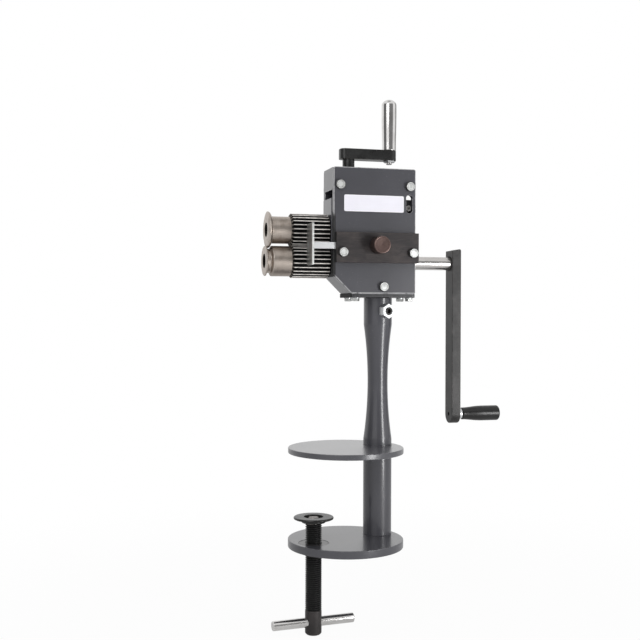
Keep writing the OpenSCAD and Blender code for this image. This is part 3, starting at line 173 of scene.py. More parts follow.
class Maker:
    """Adds and links the nodes of one node tree."""

    def __init__(self, tree: bpy.types.NodeTree) -> None:
        """Empties the tree and keeps it."""
        tree.nodes.clear()
        self.tree = tree

    def add(
        self,
        kind: str,
        settings: dict[str, object] | None = None,
        sockets: dict[str | int, Input] | None = None,
    ) -> bpy.types.Node:
        """Adds one node.

        Args:
            kind: Type of the node.
            settings: Its settings, which are set first; "stops" gives a ramp's places and greys.
            sockets: Values or links of its inputs, by name or number.

        Returns:
            The node.
        """
        node = self.tree.nodes.new(kind)
        for name, setting in (settings or {}).items():
            if name == "stops":
                self._set_stops(node.color_ramp, setting)
            else:
                setattr(node, name, setting)
        for key, source in (sockets or {}).items():
            if isinstance(source, Value):
                source = source.socket
            if isinstance(source, bpy.types.NodeSocket):
                self.tree.links.new(source, node.inputs[key])
            else:
                node.inputs[key].default_value = source
        return node

    def _set_stops(self, ramp: bpy.types.ColorRamp, stops: Sequence[Point]) -> None:
        """Sets a ramp of greys.

        Args:
            ramp: The ramp.
            stops: Its places, each with a grey.
        """
        while len(ramp.elements) > 1:
            ramp.elements.remove(ramp.elements[-1])
        for index, (place, shade) in enumerate(stops):
            if index:
                ramp.elements.new(place)
            ramp.elements[index].position = place
            ramp.elements[index].color = (shade, shade, shade, 1.0)

    def value(
        self,
        kind: str,
        settings: dict[str, object] | None = None,
        sockets: dict[str | int, Input] | None = None,
        output: str | int = 0,
    ) -> Value:
        """Adds a node and gives one of its outputs, by name or number, as a number."""
        return Value(self, self.add(kind, settings, sockets).outputs[output])

    def place(
        self, centre: Sequence[float] = (0, 0, 0), scale: Sequence[float] = (1, 1, 1)
    ) -> Socket:
        """Object coordinates, seen from a centre and stretched.

        Args:
            centre: Point of the object's frame that becomes the origin.
            scale: Stretch along the three axes.

        Returns:
            The coordinates.
        """
        here = self.add("ShaderNodeTexCoord").outputs["Object"]
        for operation, by in (("SUBTRACT", centre), ("MULTIPLY", scale)):
            sockets = {0: here, 1: tuple(by)}
            here = self.add("ShaderNodeVectorMath", {"operation": operation}, sockets).outputs[0]
        return here

    def axis(self, coordinates: Socket, name: str) -> Value:
        """One of the coordinates X, Y and Z."""
        return self.value("ShaderNodeSeparateXYZ", None, {0: coordinates}, name)

    def noise(
        self, coordinates: Socket, scale: float, detail: float = 2.0, roughness: float = 0.5
    ) -> Value:
        """Soft noise, about 0.5 on average; the scale is the number of cells in a metre."""
        sockets = {"Vector": coordinates, "Scale": scale, "Detail": detail, "Roughness": roughness}
        return self.value("ShaderNodeTexNoise", None, sockets, "Fac")

    def cells(self, coordinates: Socket, scale: float) -> Value:
        """Distance from the nearest of the scattered points.

        Args:
            coordinates: Where it is read.
            scale: Points in a metre.

        Returns:
            The distance, in cells.
        """
        return self.value(
            "ShaderNodeTexVoronoi", None, {"Vector": coordinates, "Scale": scale}, "Distance"
        )

    def worn(self) -> Value:
        """1 on the eased edges, and on the bolt heads' chamfers and sides for their painted shade,
        and 0 elsewhere.
        """
        return self.value("ShaderNodeAttribute", {"attribute_name": EDGE}, None, "Fac")

    def mix(self, share: Value | float, low: Colour | Socket, high: Colour | Socket) -> Socket:
        """Colour between two others.

        Args:
            share: 0 for the first and 1 for the second.
            low: The first colour.
            high: The second colour.

        Returns:
            The mixed colour.
        """
        sources = [(*c, 1.0) if isinstance(c, tuple) else c for c in (low, high)]
        settings = {"data_type": "RGBA", "clamp_factor": True}
        return self.add(
            "ShaderNodeMix", settings, {0: share, 6: sources[0], 7: sources[1]}
        ).outputs[2]

    def bump(self, height: Value, depth: float, strength: float = 1.0) -> Socket:
        """Normal of a rough surface, from heights of 0 to 1 and their real depth in metres."""
        sockets = {"Height": height, "Distance": depth, "Strength": strength}
        return self.add("ShaderNodeBump", None, sockets).outputs[0]

    def surface(self, sockets: dict[str | int, Input]) -> None:
        """Joins a Principled shader with these inputs to the material's output."""
        shader = self.add("ShaderNodeBsdfPrincipled", None, sockets)
        self.add("ShaderNodeOutputMaterial", None, {"Surface": shader.outputs[0]})


# Finishes


def scaled(colour: Colour, factor: float) -> Colour:
    """A colour that is lighter or darker by a factor."""
    return tuple(c * factor for c in colour)


@dataclass(frozen=True)
class Finish:
    """A finish of the crimper: its record slot and the material that shows it."""

    name: str
    slot: str

    def paint(self, maker: Maker) -> None:
        """Adds the nodes of the finish."""
        raise NotImplementedError

    def material(self) -> bpy.types.Material:
        """Gives the material, and makes it on first use.

        Returns:
            The material.
        """
        made = bpy.data.materials.get(self.name)
        if made is None:
            made = bpy.data.materials.new(self.name)
            made.use_nodes = True
            self.paint(Maker(made.node_tree))
        return made


@dataclass(frozen=True)
class GlossPaint(Finish):
    """Dark grey gloss paint with orange peel, dust, worn edges and painted shade near the rolls.

    Edges are rubbed above a set height, where one is given, to the primer colour, which on the head
    is light and also paints a highlight. Painted shade, near black, lies left of a set x and within a
    set reach of a line along x, and in front of a set y.
    """

    colour: Colour = (0.060, 0.060, 0.070)
    dust: Colour = (0.17, 0.17, 0.18)
    # Colour of rubbed edges: primer, and on the head a light one that also paints the highlight along
    # the edges
    primer_and_highlight: Colour = (0.17, 0.17, 0.18)
    rubbed_lit_share: float = 0.5
    patchy: tuple[float, float] = (0.42, 0.66)
    # Edges are lightened only above this height: on the base plate, wear and a painted highlight
    # along its top edge
    rubbed_lit_above: float = NOWHERE
    rubbed_lit_fade: float = 0.001
    # Painted shade, near black, on faces left of a set x and near a line along x: the shade between
    # the rolls' ends and the head, and on the base plate's left end
    shade_end: float = NOWHERE
    shade_axis: tuple[float, float] = (0.0, 0.0)
    shade_reach: float = 0.052
    shade_fade: float = 0.007
    near_black: Colour = (0.004, 0.004, 0.004)
    coat: float = 0.35
    coat_rough: float = 0.09
    # Faces in front of this y take the painted shade: the slide block's front face, in shade inside
    # the plate's slot
    shaded_front: float = NOWHERE

    def paint(self, maker: Maker) -> None:
        """Adds the nodes of the paint.

        Args:
            maker: Maker of the material's nodes.
        """
        here = maker.place()
        cloud = maker.noise(here, 14.0, 4.0)
        peel = maker.noise(here, 420.0, 2.0, 0.45)
        grain = maker.noise(here, 2600.0, 1.0)
        specks = (0.16 - maker.cells(here, 210.0)).between(0.0, 0.07) * cloud.between(0.5, 0.62)
        x, y, z = (maker.axis(here, name) for name in "XYZ")
        wear = maker.worn() * maker.noise(here, 160.0, 5.0, 0.65).between(*self.patchy)
        # Where a height is set, only edges above it are lightened: wear and a painted highlight
        wear = wear * z.between(self.rubbed_lit_above - self.rubbed_lit_fade, self.rubbed_lit_above)
        dark, light = scaled(self.colour, 0.93), scaled(self.colour, 1.07)
        shade = maker.mix(cloud.between(0.3, 0.7), dark, light)
        shade = maker.mix(specks * 0.45, shade, self.dust)
        # Rubbed edges take the primer colour; where it is light, it also paints a highlight
        shade = maker.mix(wear * self.rubbed_lit_share, shade, self.primer_and_highlight)
        # Painted shade, near black, beside the rolls and left of a set x, and on faces in front of a
        # set y
        side, up = y - self.shade_axis[0], z - self.shade_axis[1]
        away = side.across(up)
        shade_mask = 1.0 - away.between(self.shade_reach, self.shade_reach + self.shade_fade)
        shade_mask = shade_mask * (1.0 - x.between(self.shade_end, self.shade_end + 5 * CRISP))
        shade_mask = shade_mask.of("MAXIMUM", 1.0 - y.between(self.shaded_front, self.shaded_front + CRISP))
        shade = maker.mix(shade_mask * (0.7 + 0.3 * cloud), shade, self.near_black)
        maker.surface({
            "Base Color": shade,
            "Roughness": 0.23 + 0.08 * cloud + 0.06 * grain + 0.2 * wear + 0.5 * shade_mask,
            "Normal": maker.bump(peel + 0.25 * grain, 0.00007, 0.55),
            "Coat Weight": self.coat * (1.0 - shade_mask),
            "Coat Roughness": self.coat_rough,
        })


@dataclass(frozen=True)
class BlackSteel(Finish):
    """Oiled black oxide on steel, browner and barer along its edges."""

    colour: Colour = (0.020, 0.019, 0.019)
    sheen: Colour = (0.045, 0.043, 0.041)
    bare: Colour = (0.16, 0.145, 0.13)
    roughness: float = 0.36

    def paint(self, maker: Maker) -> None:
        """Adds the nodes of the black oxide.

        Args:
            maker: Maker of the material's nodes.
        """
        here = maker.place()
        cloud = maker.noise(here, 38.0, 5.0, 0.6)
        grain = maker.noise(here, 900.0, 3.0, 0.6)
        drawn = maker.noise(maker.place(scale=(1, 1, 0.05)), 700.0, 2.0)
        specks = grain.between(0.66, 0.78)
        wear = maker.worn() * maker.noise(here, 240.0, 4.0, 0.7).between(0.4, 0.7)
        shade = maker.mix(cloud.between(0.35, 0.7), self.colour, self.sheen)
        shade = maker.mix(specks * 0.35, shade, self.bare)
        shade = maker.mix(wear * 0.55, shade, self.bare)
        maker.surface({
            "Base Color": shade,
            "Metallic": 0.25 + 0.5 * wear,
            "Roughness": self.roughness - 0.08 + 0.2 * cloud + 0.08 * grain,
            "Normal": maker.bump(grain + 0.6 * drawn, 0.00004, 0.5),
        })


@dataclass(frozen=True)
class BrownedPlate(Finish):
    """Browned flat steel with grinding streaks, stains, rubbed edges and a black, rough left end
    face.
    """

    left: float = NOWHERE
    colour: Colour = (0.020, 0.017, 0.018)
    stain: Colour = (0.045, 0.037, 0.036)
    rubbed: Colour = (0.125, 0.104, 0.10)
    near_black: Colour = (0.004, 0.004, 0.004)

    def paint(self, maker: Maker) -> None:
        """Adds the nodes of the browned steel.

        Args:
            maker: Maker of the material's nodes.
        """
        here = maker.place()
        along = maker.place(scale=(0.05, 1, 1))
        streak = maker.noise(along, 900.0, 3.0, 0.6)
        stains = maker.noise(maker.place(scale=(0.6, 1, 1)), 55.0, 5.0, 0.65)
        scratch = maker.noise(maker.place(scale=(0.02, 1, 1)), 2400.0, 0.0).between(0.70, 0.76)
        grain = maker.noise(here, 1300.0, 2.0)
        wear = maker.worn() * maker.noise(here, 190.0, 4.0, 0.7).between(0.38, 0.66)
        shade = maker.mix(stains.between(0.35, 0.68), self.colour, self.stain)
        shade = maker.mix((streak - 0.5).clamped() * 0.9, shade, self.rubbed)
        shade = maker.mix(scratch * stains.between(0.4, 0.6) * 0.35, shade, self.rubbed)
        shade = maker.mix(wear * 0.7, shade, self.rubbed)
        # The left end face is near black, rough and not metallic
        inside = self.left + CRISP / 2
        end = 1.0 - maker.axis(here, "X").between(inside, inside + CRISP)
        shade = maker.mix(end, shade, self.near_black)
        maker.surface({
            "Base Color": shade,
            "Metallic": (0.35 + 0.4 * wear) * (1.0 - end),
            "Roughness": 0.34 + 0.22 * stains + 0.08 * streak + 0.45 * end,
            "Normal": maker.bump(streak + 0.5 * grain, 0.00005, 0.5),
        })


@dataclass(frozen=True)
class TurnedSteel(Finish):
    """Steel turned on a lathe: fine rings about its axis, with stains, bright rims and painted shade
    within a set radius.
    """

    centre: tuple[float, float, float] = (0.0, 0.0, 0.0)
    along: str = "X"
    # Inside this radius the surface takes the painted shade of the roll's end recess
    shade_radius: float = 0.0
    recess_shade: Colour = (0.03, 0.026, 0.023)
    colour: Colour = (0.43, 0.375, 0.33)
    stain: Colour = (0.19, 0.15, 0.12)
    bright: Colour = (0.62, 0.57, 0.53)
    roughness: float = 0.34
    metallic: float = 1.0
    groove: float = 0.00002

    def paint(self, maker: Maker) -> None:
        """Adds the nodes of the turned steel.

        Args:
            maker: Maker of the material's nodes.
        """
        here = maker.place(self.centre)
        across = [name for name in "XYZ" if name != self.along]
        sides = [maker.axis(here, name) for name in across]
        radius = sides[0].across(sides[1])
        length = maker.axis(here, self.along)
        line = maker.add("ShaderNodeCombineXYZ", None, {"X": length, "Y": radius}).outputs[0]
        rings = maker.noise(line, 2600.0, 2.0, 0.6)
        wide = maker.noise(line, 420.0, 2.0)
        stains = maker.noise(here, 75.0, 5.0, 0.62)
        spots = (0.2 - maker.cells(here, 260.0)).between(0.0, 0.12) * stains.between(0.5, 0.65)
        shade = maker.mix(stains.between(0.42, 0.7) * 0.6, self.colour, self.stain)
        shade = maker.mix((rings - 0.42).clamped() * 1.1, shade, self.bright)
        shade = maker.mix(spots * 0.35, shade, self.stain)
        shade = maker.mix(maker.worn() * 0.5, shade, self.bright)
        # Painted shade inside the end recess
        shade = maker.mix(radius.between(self.shade_radius, self.shade_radius + CRISP), self.recess_shade, shade)
        maker.surface({
            "Base Color": shade,
            "Metallic": self.metallic,
            "Roughness": self.roughness - 0.06 + 0.12 * stains + 0.07 * wide,
            "Normal": maker.bump(rings + 0.5 * wide, self.groove, 0.6),
        })


@dataclass(frozen=True)
class ToothedSteel(Finish):
    """Steel of the crimp rolls: tips rubbed and painted bright as a highlight; flanks and gaps in
    painted shade.
    """

    centre: tuple[float, float, float] = (0.0, 0.0, 0.0)
    left: float = 0.0
    root: float = 0.0202
    tip: float = 0.0248
    bevel: float = 0.0026
    bevel_depth: float = 0.0048
    # Band of the tips, in shares of the tooth depth below the tip, that is rubbed bright and painted
    # as a highlight
    rubbed_lit_from: float = 0.20
    rubbed_lit_to: float = 0.09
    # Colour of the painted shade on the flanks and in the gaps, and of dark stains
    near_black: Colour = (0.0015, 0.0014, 0.0013)
    colour: Colour = (0.20, 0.18, 0.16)
    bright: Colour = (0.93, 0.89, 0.85)

    def paint(self, maker: Maker) -> None:
        """Adds the nodes of the toothed steel.

        Args:
            maker: Maker of the material's nodes.
        """
        here = maker.place(self.centre)
        side, up = maker.axis(here, "Y"), maker.axis(here, "Z")
        radius = side.across(up)
        depth = self.tip - self.root
        stains = maker.noise(here, 90.0, 5.0, 0.65)
        drawn = maker.noise(maker.place(scale=(0.06, 1, 1)), 1500.0, 3.0, 0.6)
        # Tips rubbed bright and painted as a highlight
        worn = radius.between(self.tip - self.rubbed_lit_from * depth, self.tip - self.rubbed_lit_to * depth)
        slope = self.bevel_depth / self.bevel
        cone = (maker.axis(maker.place(), "X") - self.left) * slope + (self.tip - self.bevel_depth)
        end = (radius - cone).between(-2.5 * CRISP, -CRISP)
        lit = maker.mix(0.35 + 0.65 * drawn.between(0.3, 0.55), self.colour, self.bright)
        # Painted highlight on the rubbed tips, over painted shade, near black, on the flanks and in
        # the gaps
        shade = maker.mix(worn * (0.75 + 0.25 * stains.between(0.35, 0.6)), self.near_black, lit)
        shade = maker.mix(stains.between(0.6, 0.75) * 0.5, shade, self.near_black)
        shade = maker.mix(end * 0.8, shade, self.colour)
        maker.surface({
            "Base Color": shade,
            "Metallic": 0.2 * worn + 0.3 * end,
            "Roughness": 0.6 - 0.2 * worn + 0.12 * stains,
            "Normal": maker.bump(drawn, 0.00003, 0.5),
            "Specular IOR Level": 0.2,
        })


@dataclass(frozen=True)
class BrightSteel(Finish):
    """Polished steel or bright plate with fine scratches and faint clouds."""

    colour: Colour = (0.72, 0.71, 0.70)
    dull: Colour = (0.50, 0.485, 0.47)
    roughness: float = 0.12
    streak: tuple[float, float, float] = (1.0, 1.0, 0.06)

    def paint(self, maker: Maker) -> None:
        """Adds the nodes of the bright steel.

        Args:
            maker: Maker of the material's nodes.
        """
        here = maker.place()
        cloud = maker.noise(here, 60.0, 4.0, 0.6)
        drawn = maker.noise(maker.place(scale=self.streak), 1800.0, 3.0, 0.6)
        hair = maker.noise(maker.place(scale=self.streak), 5200.0, 0.0).between(0.7, 0.78)
        wear = maker.worn() * cloud.between(0.3, 0.6)
        shade = maker.mix(cloud.between(0.4, 0.75) * 0.5, self.colour, self.dull)
        shade = maker.mix(hair * 0.3, shade, self.dull)
        shade = maker.mix(wear * 0.3, shade, (0.85, 0.85, 0.85))
        maker.surface({
            "Base Color": shade,
            "Metallic": 1.0,
            "Roughness": self.roughness * 0.8 + self.roughness * 0.5 * cloud + 0.05 * drawn,
            "Normal": maker.bump(drawn, 0.00001, 0.4),
        })


@dataclass(frozen=True)
class ZincPlate(Finish):
    """Bright zinc plate: light grey with soft grains and small dull spots; painted shade on bolt
    rims.
    """

    colour: Colour = (0.80, 0.81, 0.80)
    dull: Colour = (0.42, 0.42, 0.41)
    rim: Colour = (0.9, 0.9, 0.9)
    rimmed: float = 0.3
    # Faces left of this x are polished to a mirror whose colour is darkened, a painted darker
    # reflection
    shaded_mirror: float = NOWHERE
    roughness: float = 0.24

    def paint(self, maker: Maker) -> None:
        """Adds the nodes of the zinc.

        Args:
            maker: Maker of the material's nodes.
        """
        here = maker.place()
        cloud = maker.noise(here, 120.0, 4.0, 0.6)
        grains = maker.cells(here, 900.0)
        spots = maker.noise(here, 500.0, 3.0, 0.7).between(0.6, 0.75)
        shade = maker.mix(cloud.between(0.4, 0.72) * 0.7, self.colour, self.dull)
        shade = maker.mix(spots * 0.4, shade, self.dull)
        # Marked faces take the rim colour; on the bolts it is dark, painted shade on the heads'
        # chamfers and sides
        shade = maker.mix(maker.worn() * self.rimmed, shade, self.rim)
        # Polished mirror face, its colour darkened as a painted darker reflection
        polish_and_shade = 1.0 - maker.axis(here, "X").between(self.shaded_mirror, self.shaded_mirror + CRISP)
        shade = maker.mix(polish_and_shade * 0.7, shade, self.dull)
        maker.surface({
            "Base Color": shade,
            "Metallic": 0.85 + 0.15 * polish_and_shade,
            "Roughness": self.roughness + 0.14 * cloud + 0.08 * grains,
            "Normal": maker.bump(grains + cloud, 0.00002, 0.35),
        })


@dataclass(frozen=True)
class Resin(Finish):
    """Polished black resin with a flow that barely shows, fine scratches and dust."""

    colour: Colour = (0.006, 0.006, 0.006)
    dust: Colour = (0.05, 0.05, 0.05)

    def paint(self, maker: Maker) -> None:
        """Adds the nodes of the resin.

        Args:
            maker: Maker of the material's nodes.
        """
        here = maker.place()
        flow = maker.noise(maker.place(scale=(0.3, 1, 1)), 90.0, 4.0, 0.6)
        hair = maker.noise(maker.place(scale=(1, 0.05, 1)), 3200.0, 0.0).between(0.7, 0.78)
        dust = maker.noise(here, 1700.0, 1.0).between(0.68, 0.78)
        shade = maker.mix(flow.between(0.4, 0.75), self.colour, scaled(self.colour, 2))
        shade = maker.mix(hair * 0.12 + dust * 0.25, shade, self.dust)
        maker.surface({
            "Base Color": shade,
            "Roughness": 0.27 + 0.1 * flow + 0.12 * hair,
            "Normal": maker.bump(flow, 0.00006, 0.35),
            "Specular IOR Level": 0.42,
            "Coat Weight": 0.05,
            "Coat Roughness": 0.2,
        })


@dataclass(frozen=True)
class BlankPlate(Finish):
    """Satin face of the bare label plate, with a lighter border and faint streaks."""

    centre: tuple[float, float, float] = (0.0, 0.0, 0.0)
    half: tuple[float, float] = (0.0465, 0.0126)
    border: float = 0.0012
    colour: Colour = (0.82, 0.81, 0.88)
    edge: Colour = (0.93, 0.925, 0.96)

    def paint(self, maker: Maker) -> None:
        """Adds the nodes of the label's face.

        Args:
            maker: Maker of the material's nodes.
        """
        here = maker.place(self.centre)
        side = self.half[0] - maker.axis(here, "X").of("ABSOLUTE")
        up = self.half[1] - maker.axis(here, "Z").of("ABSOLUTE")
        rim = 1.0 - side.of("MINIMUM", up).between(self.border * 0.4, self.border)
        streak = maker.noise(maker.place(scale=(0.04, 1, 1)), 1100.0, 3.0, 0.6)
        cloud = maker.noise(here, 60.0, 4.0)
        shade = maker.mix(cloud.between(0.3, 0.7), self.colour, scaled(self.colour, 1.03))
        shade = maker.mix((streak - 0.5).clamped() * 0.5, shade, scaled(self.colour, 0.85))
        shade = maker.mix(rim, shade, self.edge)
        maker.surface({
            "Base Color": shade,
            "Roughness": 0.42 + 0.12 * streak,
            "Normal": maker.bump(streak, 0.00001, 0.4),
        })


PAINT = GlossPaint("gloss_paint", "paint")
BLACK = BlackSteel("black_steel", "black_steel")
GUN_BLACK = BlackSteel(
    "black_screw_steel", "black_steel",
    colour=(0.012, 0.012, 0.012), sheen=(0.026, 0.026, 0.026), roughness=0.24,
)
ARM_BLACK = BlackSteel(
    "black_arm_steel", "black_steel",
    colour=(0.012, 0.0115, 0.0115), sheen=(0.048, 0.046, 0.046), bare=(0.18, 0.17, 0.165),
    roughness=0.4,
)
RIM_BLACK = BlackSteel(
    "rubbed_screw_steel", "black_steel",
    colour=(0.07, 0.068, 0.066), sheen=(0.14, 0.135, 0.13), bare=(0.75, 0.72, 0.70),
)
THREAD_BLACK = BlackSteel(
    "black_thread_steel", "black_steel",
    colour=(0.008, 0.008, 0.008), sheen=(0.014, 0.014, 0.014), bare=(0.05, 0.05, 0.05),
    roughness=0.42,
)
END_BLACK = BlackSteel(
    "black_end_steel", "black_steel",
    colour=(0.022, 0.019, 0.019), sheen=(0.045, 0.038, 0.038), bare=(0.10, 0.09, 0.09),
    roughness=0.42,
)
POLISHED = BrightSteel("polished_steel", "bright_steel", roughness=0.09)
GROUND = BrightSteel(
    "ground_shaft_steel", "bright_steel",
    colour=(0.62, 0.60, 0.585), roughness=0.2, streak=(0.06, 1.0, 1.0),
)
ZINC = ZincPlate("zinc_plate", "zinc_plate")
# Bolt heads: the dark rim is painted shade on their chamfers and sides
BOLT_ZINC = ZincPlate(
    "bolt_zinc", "zinc_plate", colour=(0.66, 0.67, 0.66), dull=(0.24, 0.24, 0.23),
    rim=(0.09, 0.09, 0.09), rimmed=0.9, roughness=0.33,
)
RESIN = Resin("black_resin", "black_plastic")


# Modelling steps


def activate(piece: Piece) -> None:
    """Makes a piece the only selected object and the active one.

    Args:
        piece: The piece.
    """
    bpy.ops.object.select_all(action="DESELECT")
    piece.select_set(True)
    bpy.context.view_layer.objects.active = piece


@contextmanager
def editing(piece: Piece, mode: str = "VERT", select: str | None = "SELECT") -> Iterator[None]:
    """Edit mode on a piece.

    Args:
        piece: The piece.
        mode: What is selected: VERT, EDGE or FACE.
        select: SELECT or DESELECT for all, or None to keep what was selected in code.

    Yields:
        Nothing; the piece is in edit mode until the block ends.
    """
    activate(piece)
    bpy.context.tool_settings.mesh_select_mode = tuple(
        mode == name for name in ("VERT", "EDGE", "FACE")
    )
    bpy.ops.object.mode_set(mode="EDIT")
    if select:
        bpy.ops.mesh.select_all(action=select)
    try:
        yield
    finally:
        bpy.ops.object.mode_set(mode="OBJECT")


def pick(piece: Piece, faces: Callable[[bpy.types.MeshPolygon], bool]) -> None:
    """Selects faces in code.

    Args:
        piece: The piece, in object mode.
        faces: True for a face that is wanted.
    """
    mesh = piece.data
    mesh.vertices.foreach_set("select", [False] * len(mesh.vertices))
    mesh.edges.foreach_set("select", [False] * len(mesh.edges))
    mesh.polygons.foreach_set("select", [faces(face) for face in mesh.polygons])


def apply_modifier(piece: Piece, kind: str, **settings: object) -> None:
    """Adds a modifier with these settings and applies it.

    Args:
        piece: The piece.
        kind: Type of the modifier.
        settings: Its settings, by name.
    """
    activate(piece)
    modifier = piece.modifiers.new(kind.title(), kind)
    for name, setting in settings.items():
        setattr(modifier, name, setting)
    bpy.ops.object.modifier_apply(modifier=modifier.name)


def close_up(piece: Piece, gap: float = 1e-4) -> None:
    """Merges doubles, drops loose edges and turns all faces outwards.

    Args:
        piece: The piece.
        gap: Vertices nearer than this are merged, in the piece's units.
    """
    with editing(piece):
        bpy.ops.mesh.remove_doubles(threshold=gap)
        bpy.ops.mesh.dissolve_degenerate(threshold=gap * 0.5)
        bpy.ops.mesh.delete_loose()
        bpy.ops.mesh.select_all(action="SELECT")
        bpy.ops.mesh.normals_make_consistent(inside=False)


def ring(name: str, count: int) -> Piece:
    """A new piece of some points joined in a ring of radius 1, to be moved to their places.

    Args:
        name: Name of the piece.
        count: Number of points.

    Returns:
        The piece, in the plane of x and y.
    """
    bpy.ops.object.select_all(action="DESELECT")
    bpy.ops.mesh.primitive_circle_add(vertices=count, radius=1.0, fill_type="NOTHING")
    piece = bpy.context.active_object
    piece.name = piece.data.name = name
    return piece


def turned(name: str, outline: Sequence[Point], steps: int = 96) -> Piece:
    """A round piece about z.

    Args:
        name: Name of the piece.
        outline: Closed half outline of radius and height.
        steps: Faces round the axis.

    Returns:
        The piece, in the units of its outline.
    """
    piece = ring(name, len(outline))
    for vertex, (radius, height) in zip(piece.data.vertices, outline):
        vertex.co = (radius, 0.0, height)
    with editing(piece):
        bpy.ops.mesh.spin(steps=steps, angle=math.tau, center=(0, 0, 0), axis=(0, 0, 1))
    close_up(piece)
    return piece


def lofted(name: str, rings: Sequence[Sequence[tuple[float, float, float]]]) -> Piece:
    """A closed piece stretched through rings of points, one extrusion for each.

    Args:
        name: Name of the piece.
        rings: Closed rings, all with the same number of points; the last is the first again.

    Returns:
        The piece, in the units of its rings.
    """
    piece = ring(name, len(rings[0]))
    start = {tuple(round(c, 4) for c in v.co[:2]): v.index for v in piece.data.vertices}
    with editing(piece, "EDGE"):
        for _ in rings[1:]:
            bpy.ops.mesh.extrude_edges_move(TRANSFORM_OT_translate={"value": (0.0, 0.0, 1.0)})
    for vertex in piece.data.vertices:
        layer = rings[round(vertex.co.z)]
        vertex.co = layer[start[tuple(round(c, 4) for c in vertex.co[:2])]]
    close_up(piece)
    return piece


# One turn of a thread: shares of its depth, and of its pitch, from root to root
THREAD_FORM = ((0, 0), (0, 0.08), (0.9, 0.42), (1, 0.46), (1, 0.54), (0.9, 0.58), (0, 0.92), (0, 1))
THREAD_DEPTH = 0.613
THREAD_STEPS = 40


def threaded(name: str, radius: float, pitch: float, low: float, high: float) -> Piece:
    """A right-hand screw thread along z.

    Args:
        name: Name of the piece.
        radius: Outer radius.
        pitch: Rise of a turn.
        low: Height of its lower end.
        high: Height of its upper end.

    Returns:
        The piece, closed at both ends.
    """
    piece = ring(name, len(THREAD_FORM))
    last = len(THREAD_FORM) - 1
    for edge in piece.data.edges:
        edge.select = set(edge.vertices) == {0, last}
    for vertex in piece.data.vertices:
        vertex.select = vertex.index in (0, last)
    with editing(piece, "EDGE", None):
        bpy.ops.mesh.delete(type="EDGE")
    depth = THREAD_DEPTH * pitch
    for vertex, (share, rise) in zip(piece.data.vertices, THREAD_FORM):
        vertex.co = (radius - (1.0 - share) * depth, 0.0, low + (rise - 2.0) * pitch)
    turns = math.ceil((high - low) / pitch) + 3
    apply_modifier(
        piece, "SCREW", axis="Z", angle=math.tau, screw_offset=pitch, iterations=turns,
        steps=THREAD_STEPS, render_steps=THREAD_STEPS, use_merge_vertices=False,
    )
    with editing(piece):
        bpy.ops.mesh.remove_doubles(threshold=1e-4)
    for height, down in ((low, -1.0), (high, 1.0)):
        with editing(piece):
            bpy.ops.mesh.bisect(
                plane_co=(0, 0, height), plane_no=(0, 0, down), use_fill=True, clear_outer=True
            )
    close_up(piece, 1e-5)
    return piece


def joined(pieces: Sequence[Piece]) -> Piece:
    """Several pieces as one, under the first one's name.

    Args:
        pieces: The pieces.

    Returns:
        The joined piece.
    """
    activate(pieces[0])
    for piece in pieces:
        piece.select_set(True)
    bpy.ops.object.join()
    return bpy.context.active_object


def weigh(piece: Piece, span: float, angle: float) -> None:
    """Gives chains of sharp edges their share of the rounding.

    Args:
        piece: The piece.
        span: Chains longer than this are rounded in full, and shorter ones a little.
        angle: Least angle of a sharp edge, in degrees.
    """
    with editing(piece, "EDGE", "DESELECT"):
        bpy.ops.mesh.edges_select_sharp(sharpness=math.radians(angle))
    mesh = piece.data
    leader = list(range(len(mesh.vertices)))

    def first(vertex: int) -> int:
        """Follows a vertex to the one that stands for its chain.

        Args:
            vertex: Number of the vertex.

        Returns:
            Number of the chain's own vertex.
        """
        while leader[vertex] != vertex:
            vertex = leader[vertex]
        return vertex

    sharp = [edge for edge in mesh.edges if edge.select]
    for edge in sharp:
        leader[first(edge.vertices[0])] = first(edge.vertices[1])
    chains: dict[int, list[bpy.types.MeshEdge]] = {}
    for edge in sharp:
        chains.setdefault(first(edge.vertices[0]), []).append(edge)
    weights = [0.0] * len(mesh.edges)
    for edges in chains.values():
        points = [mesh.vertices[v].co for edge in edges for v in edge.vertices]
        size = max(max(p[n] for p in points) - min(p[n] for p in points) for n in range(3))
        for edge in edges:
            weights[edge.index] = 1.0 if size > span else SHORT_EDGE_SHARE
    mesh.attributes.new("bevel_weight_edge", "FLOAT", "EDGE").data.foreach_set("value", weights)


def ease(
    piece: Piece, width: float, segments: int = 2, angle: float = 32.0, span: float = 0.0
) -> None:
    """Rounds the sharp edges, marks them for the finishes' worn edges and the head paint's painted
    highlight, and smooths the rest.

    Args:
        piece: The piece.
        width: Width of the rounding, in the piece's units.
        segments: Faces across the rounding.
        angle: Edges sharper than this angle, in degrees, are rounded.
        span: Where given, chains of edges longer than this get the full width.
    """
    mesh = piece.data
    limits = {"limit_method": "ANGLE", "angle_limit": math.radians(angle)}
    if span:
        weigh(piece, span, angle)
        limits = {"limit_method": "WEIGHT", "use_clamp_overlap": False, "loop_slide": False}
    while len(mesh.materials) < 2:
        mesh.materials.append(None)
    mesh.polygons.foreach_set("material_index", [0] * len(mesh.polygons))
    apply_modifier(piece, "BEVEL", width=width, segments=segments, material=1, **limits)
    marks = [float(face.material_index) for face in mesh.polygons]
    mesh.attributes.new(EDGE, "FLOAT", "FACE").data.foreach_set("value", marks)
    mesh.polygons.foreach_set("material_index", [0] * len(mesh.polygons))
    mesh.materials.clear()
    smooth(piece, weight=FLAT_WEIGHT if span else PLAIN_WEIGHT)


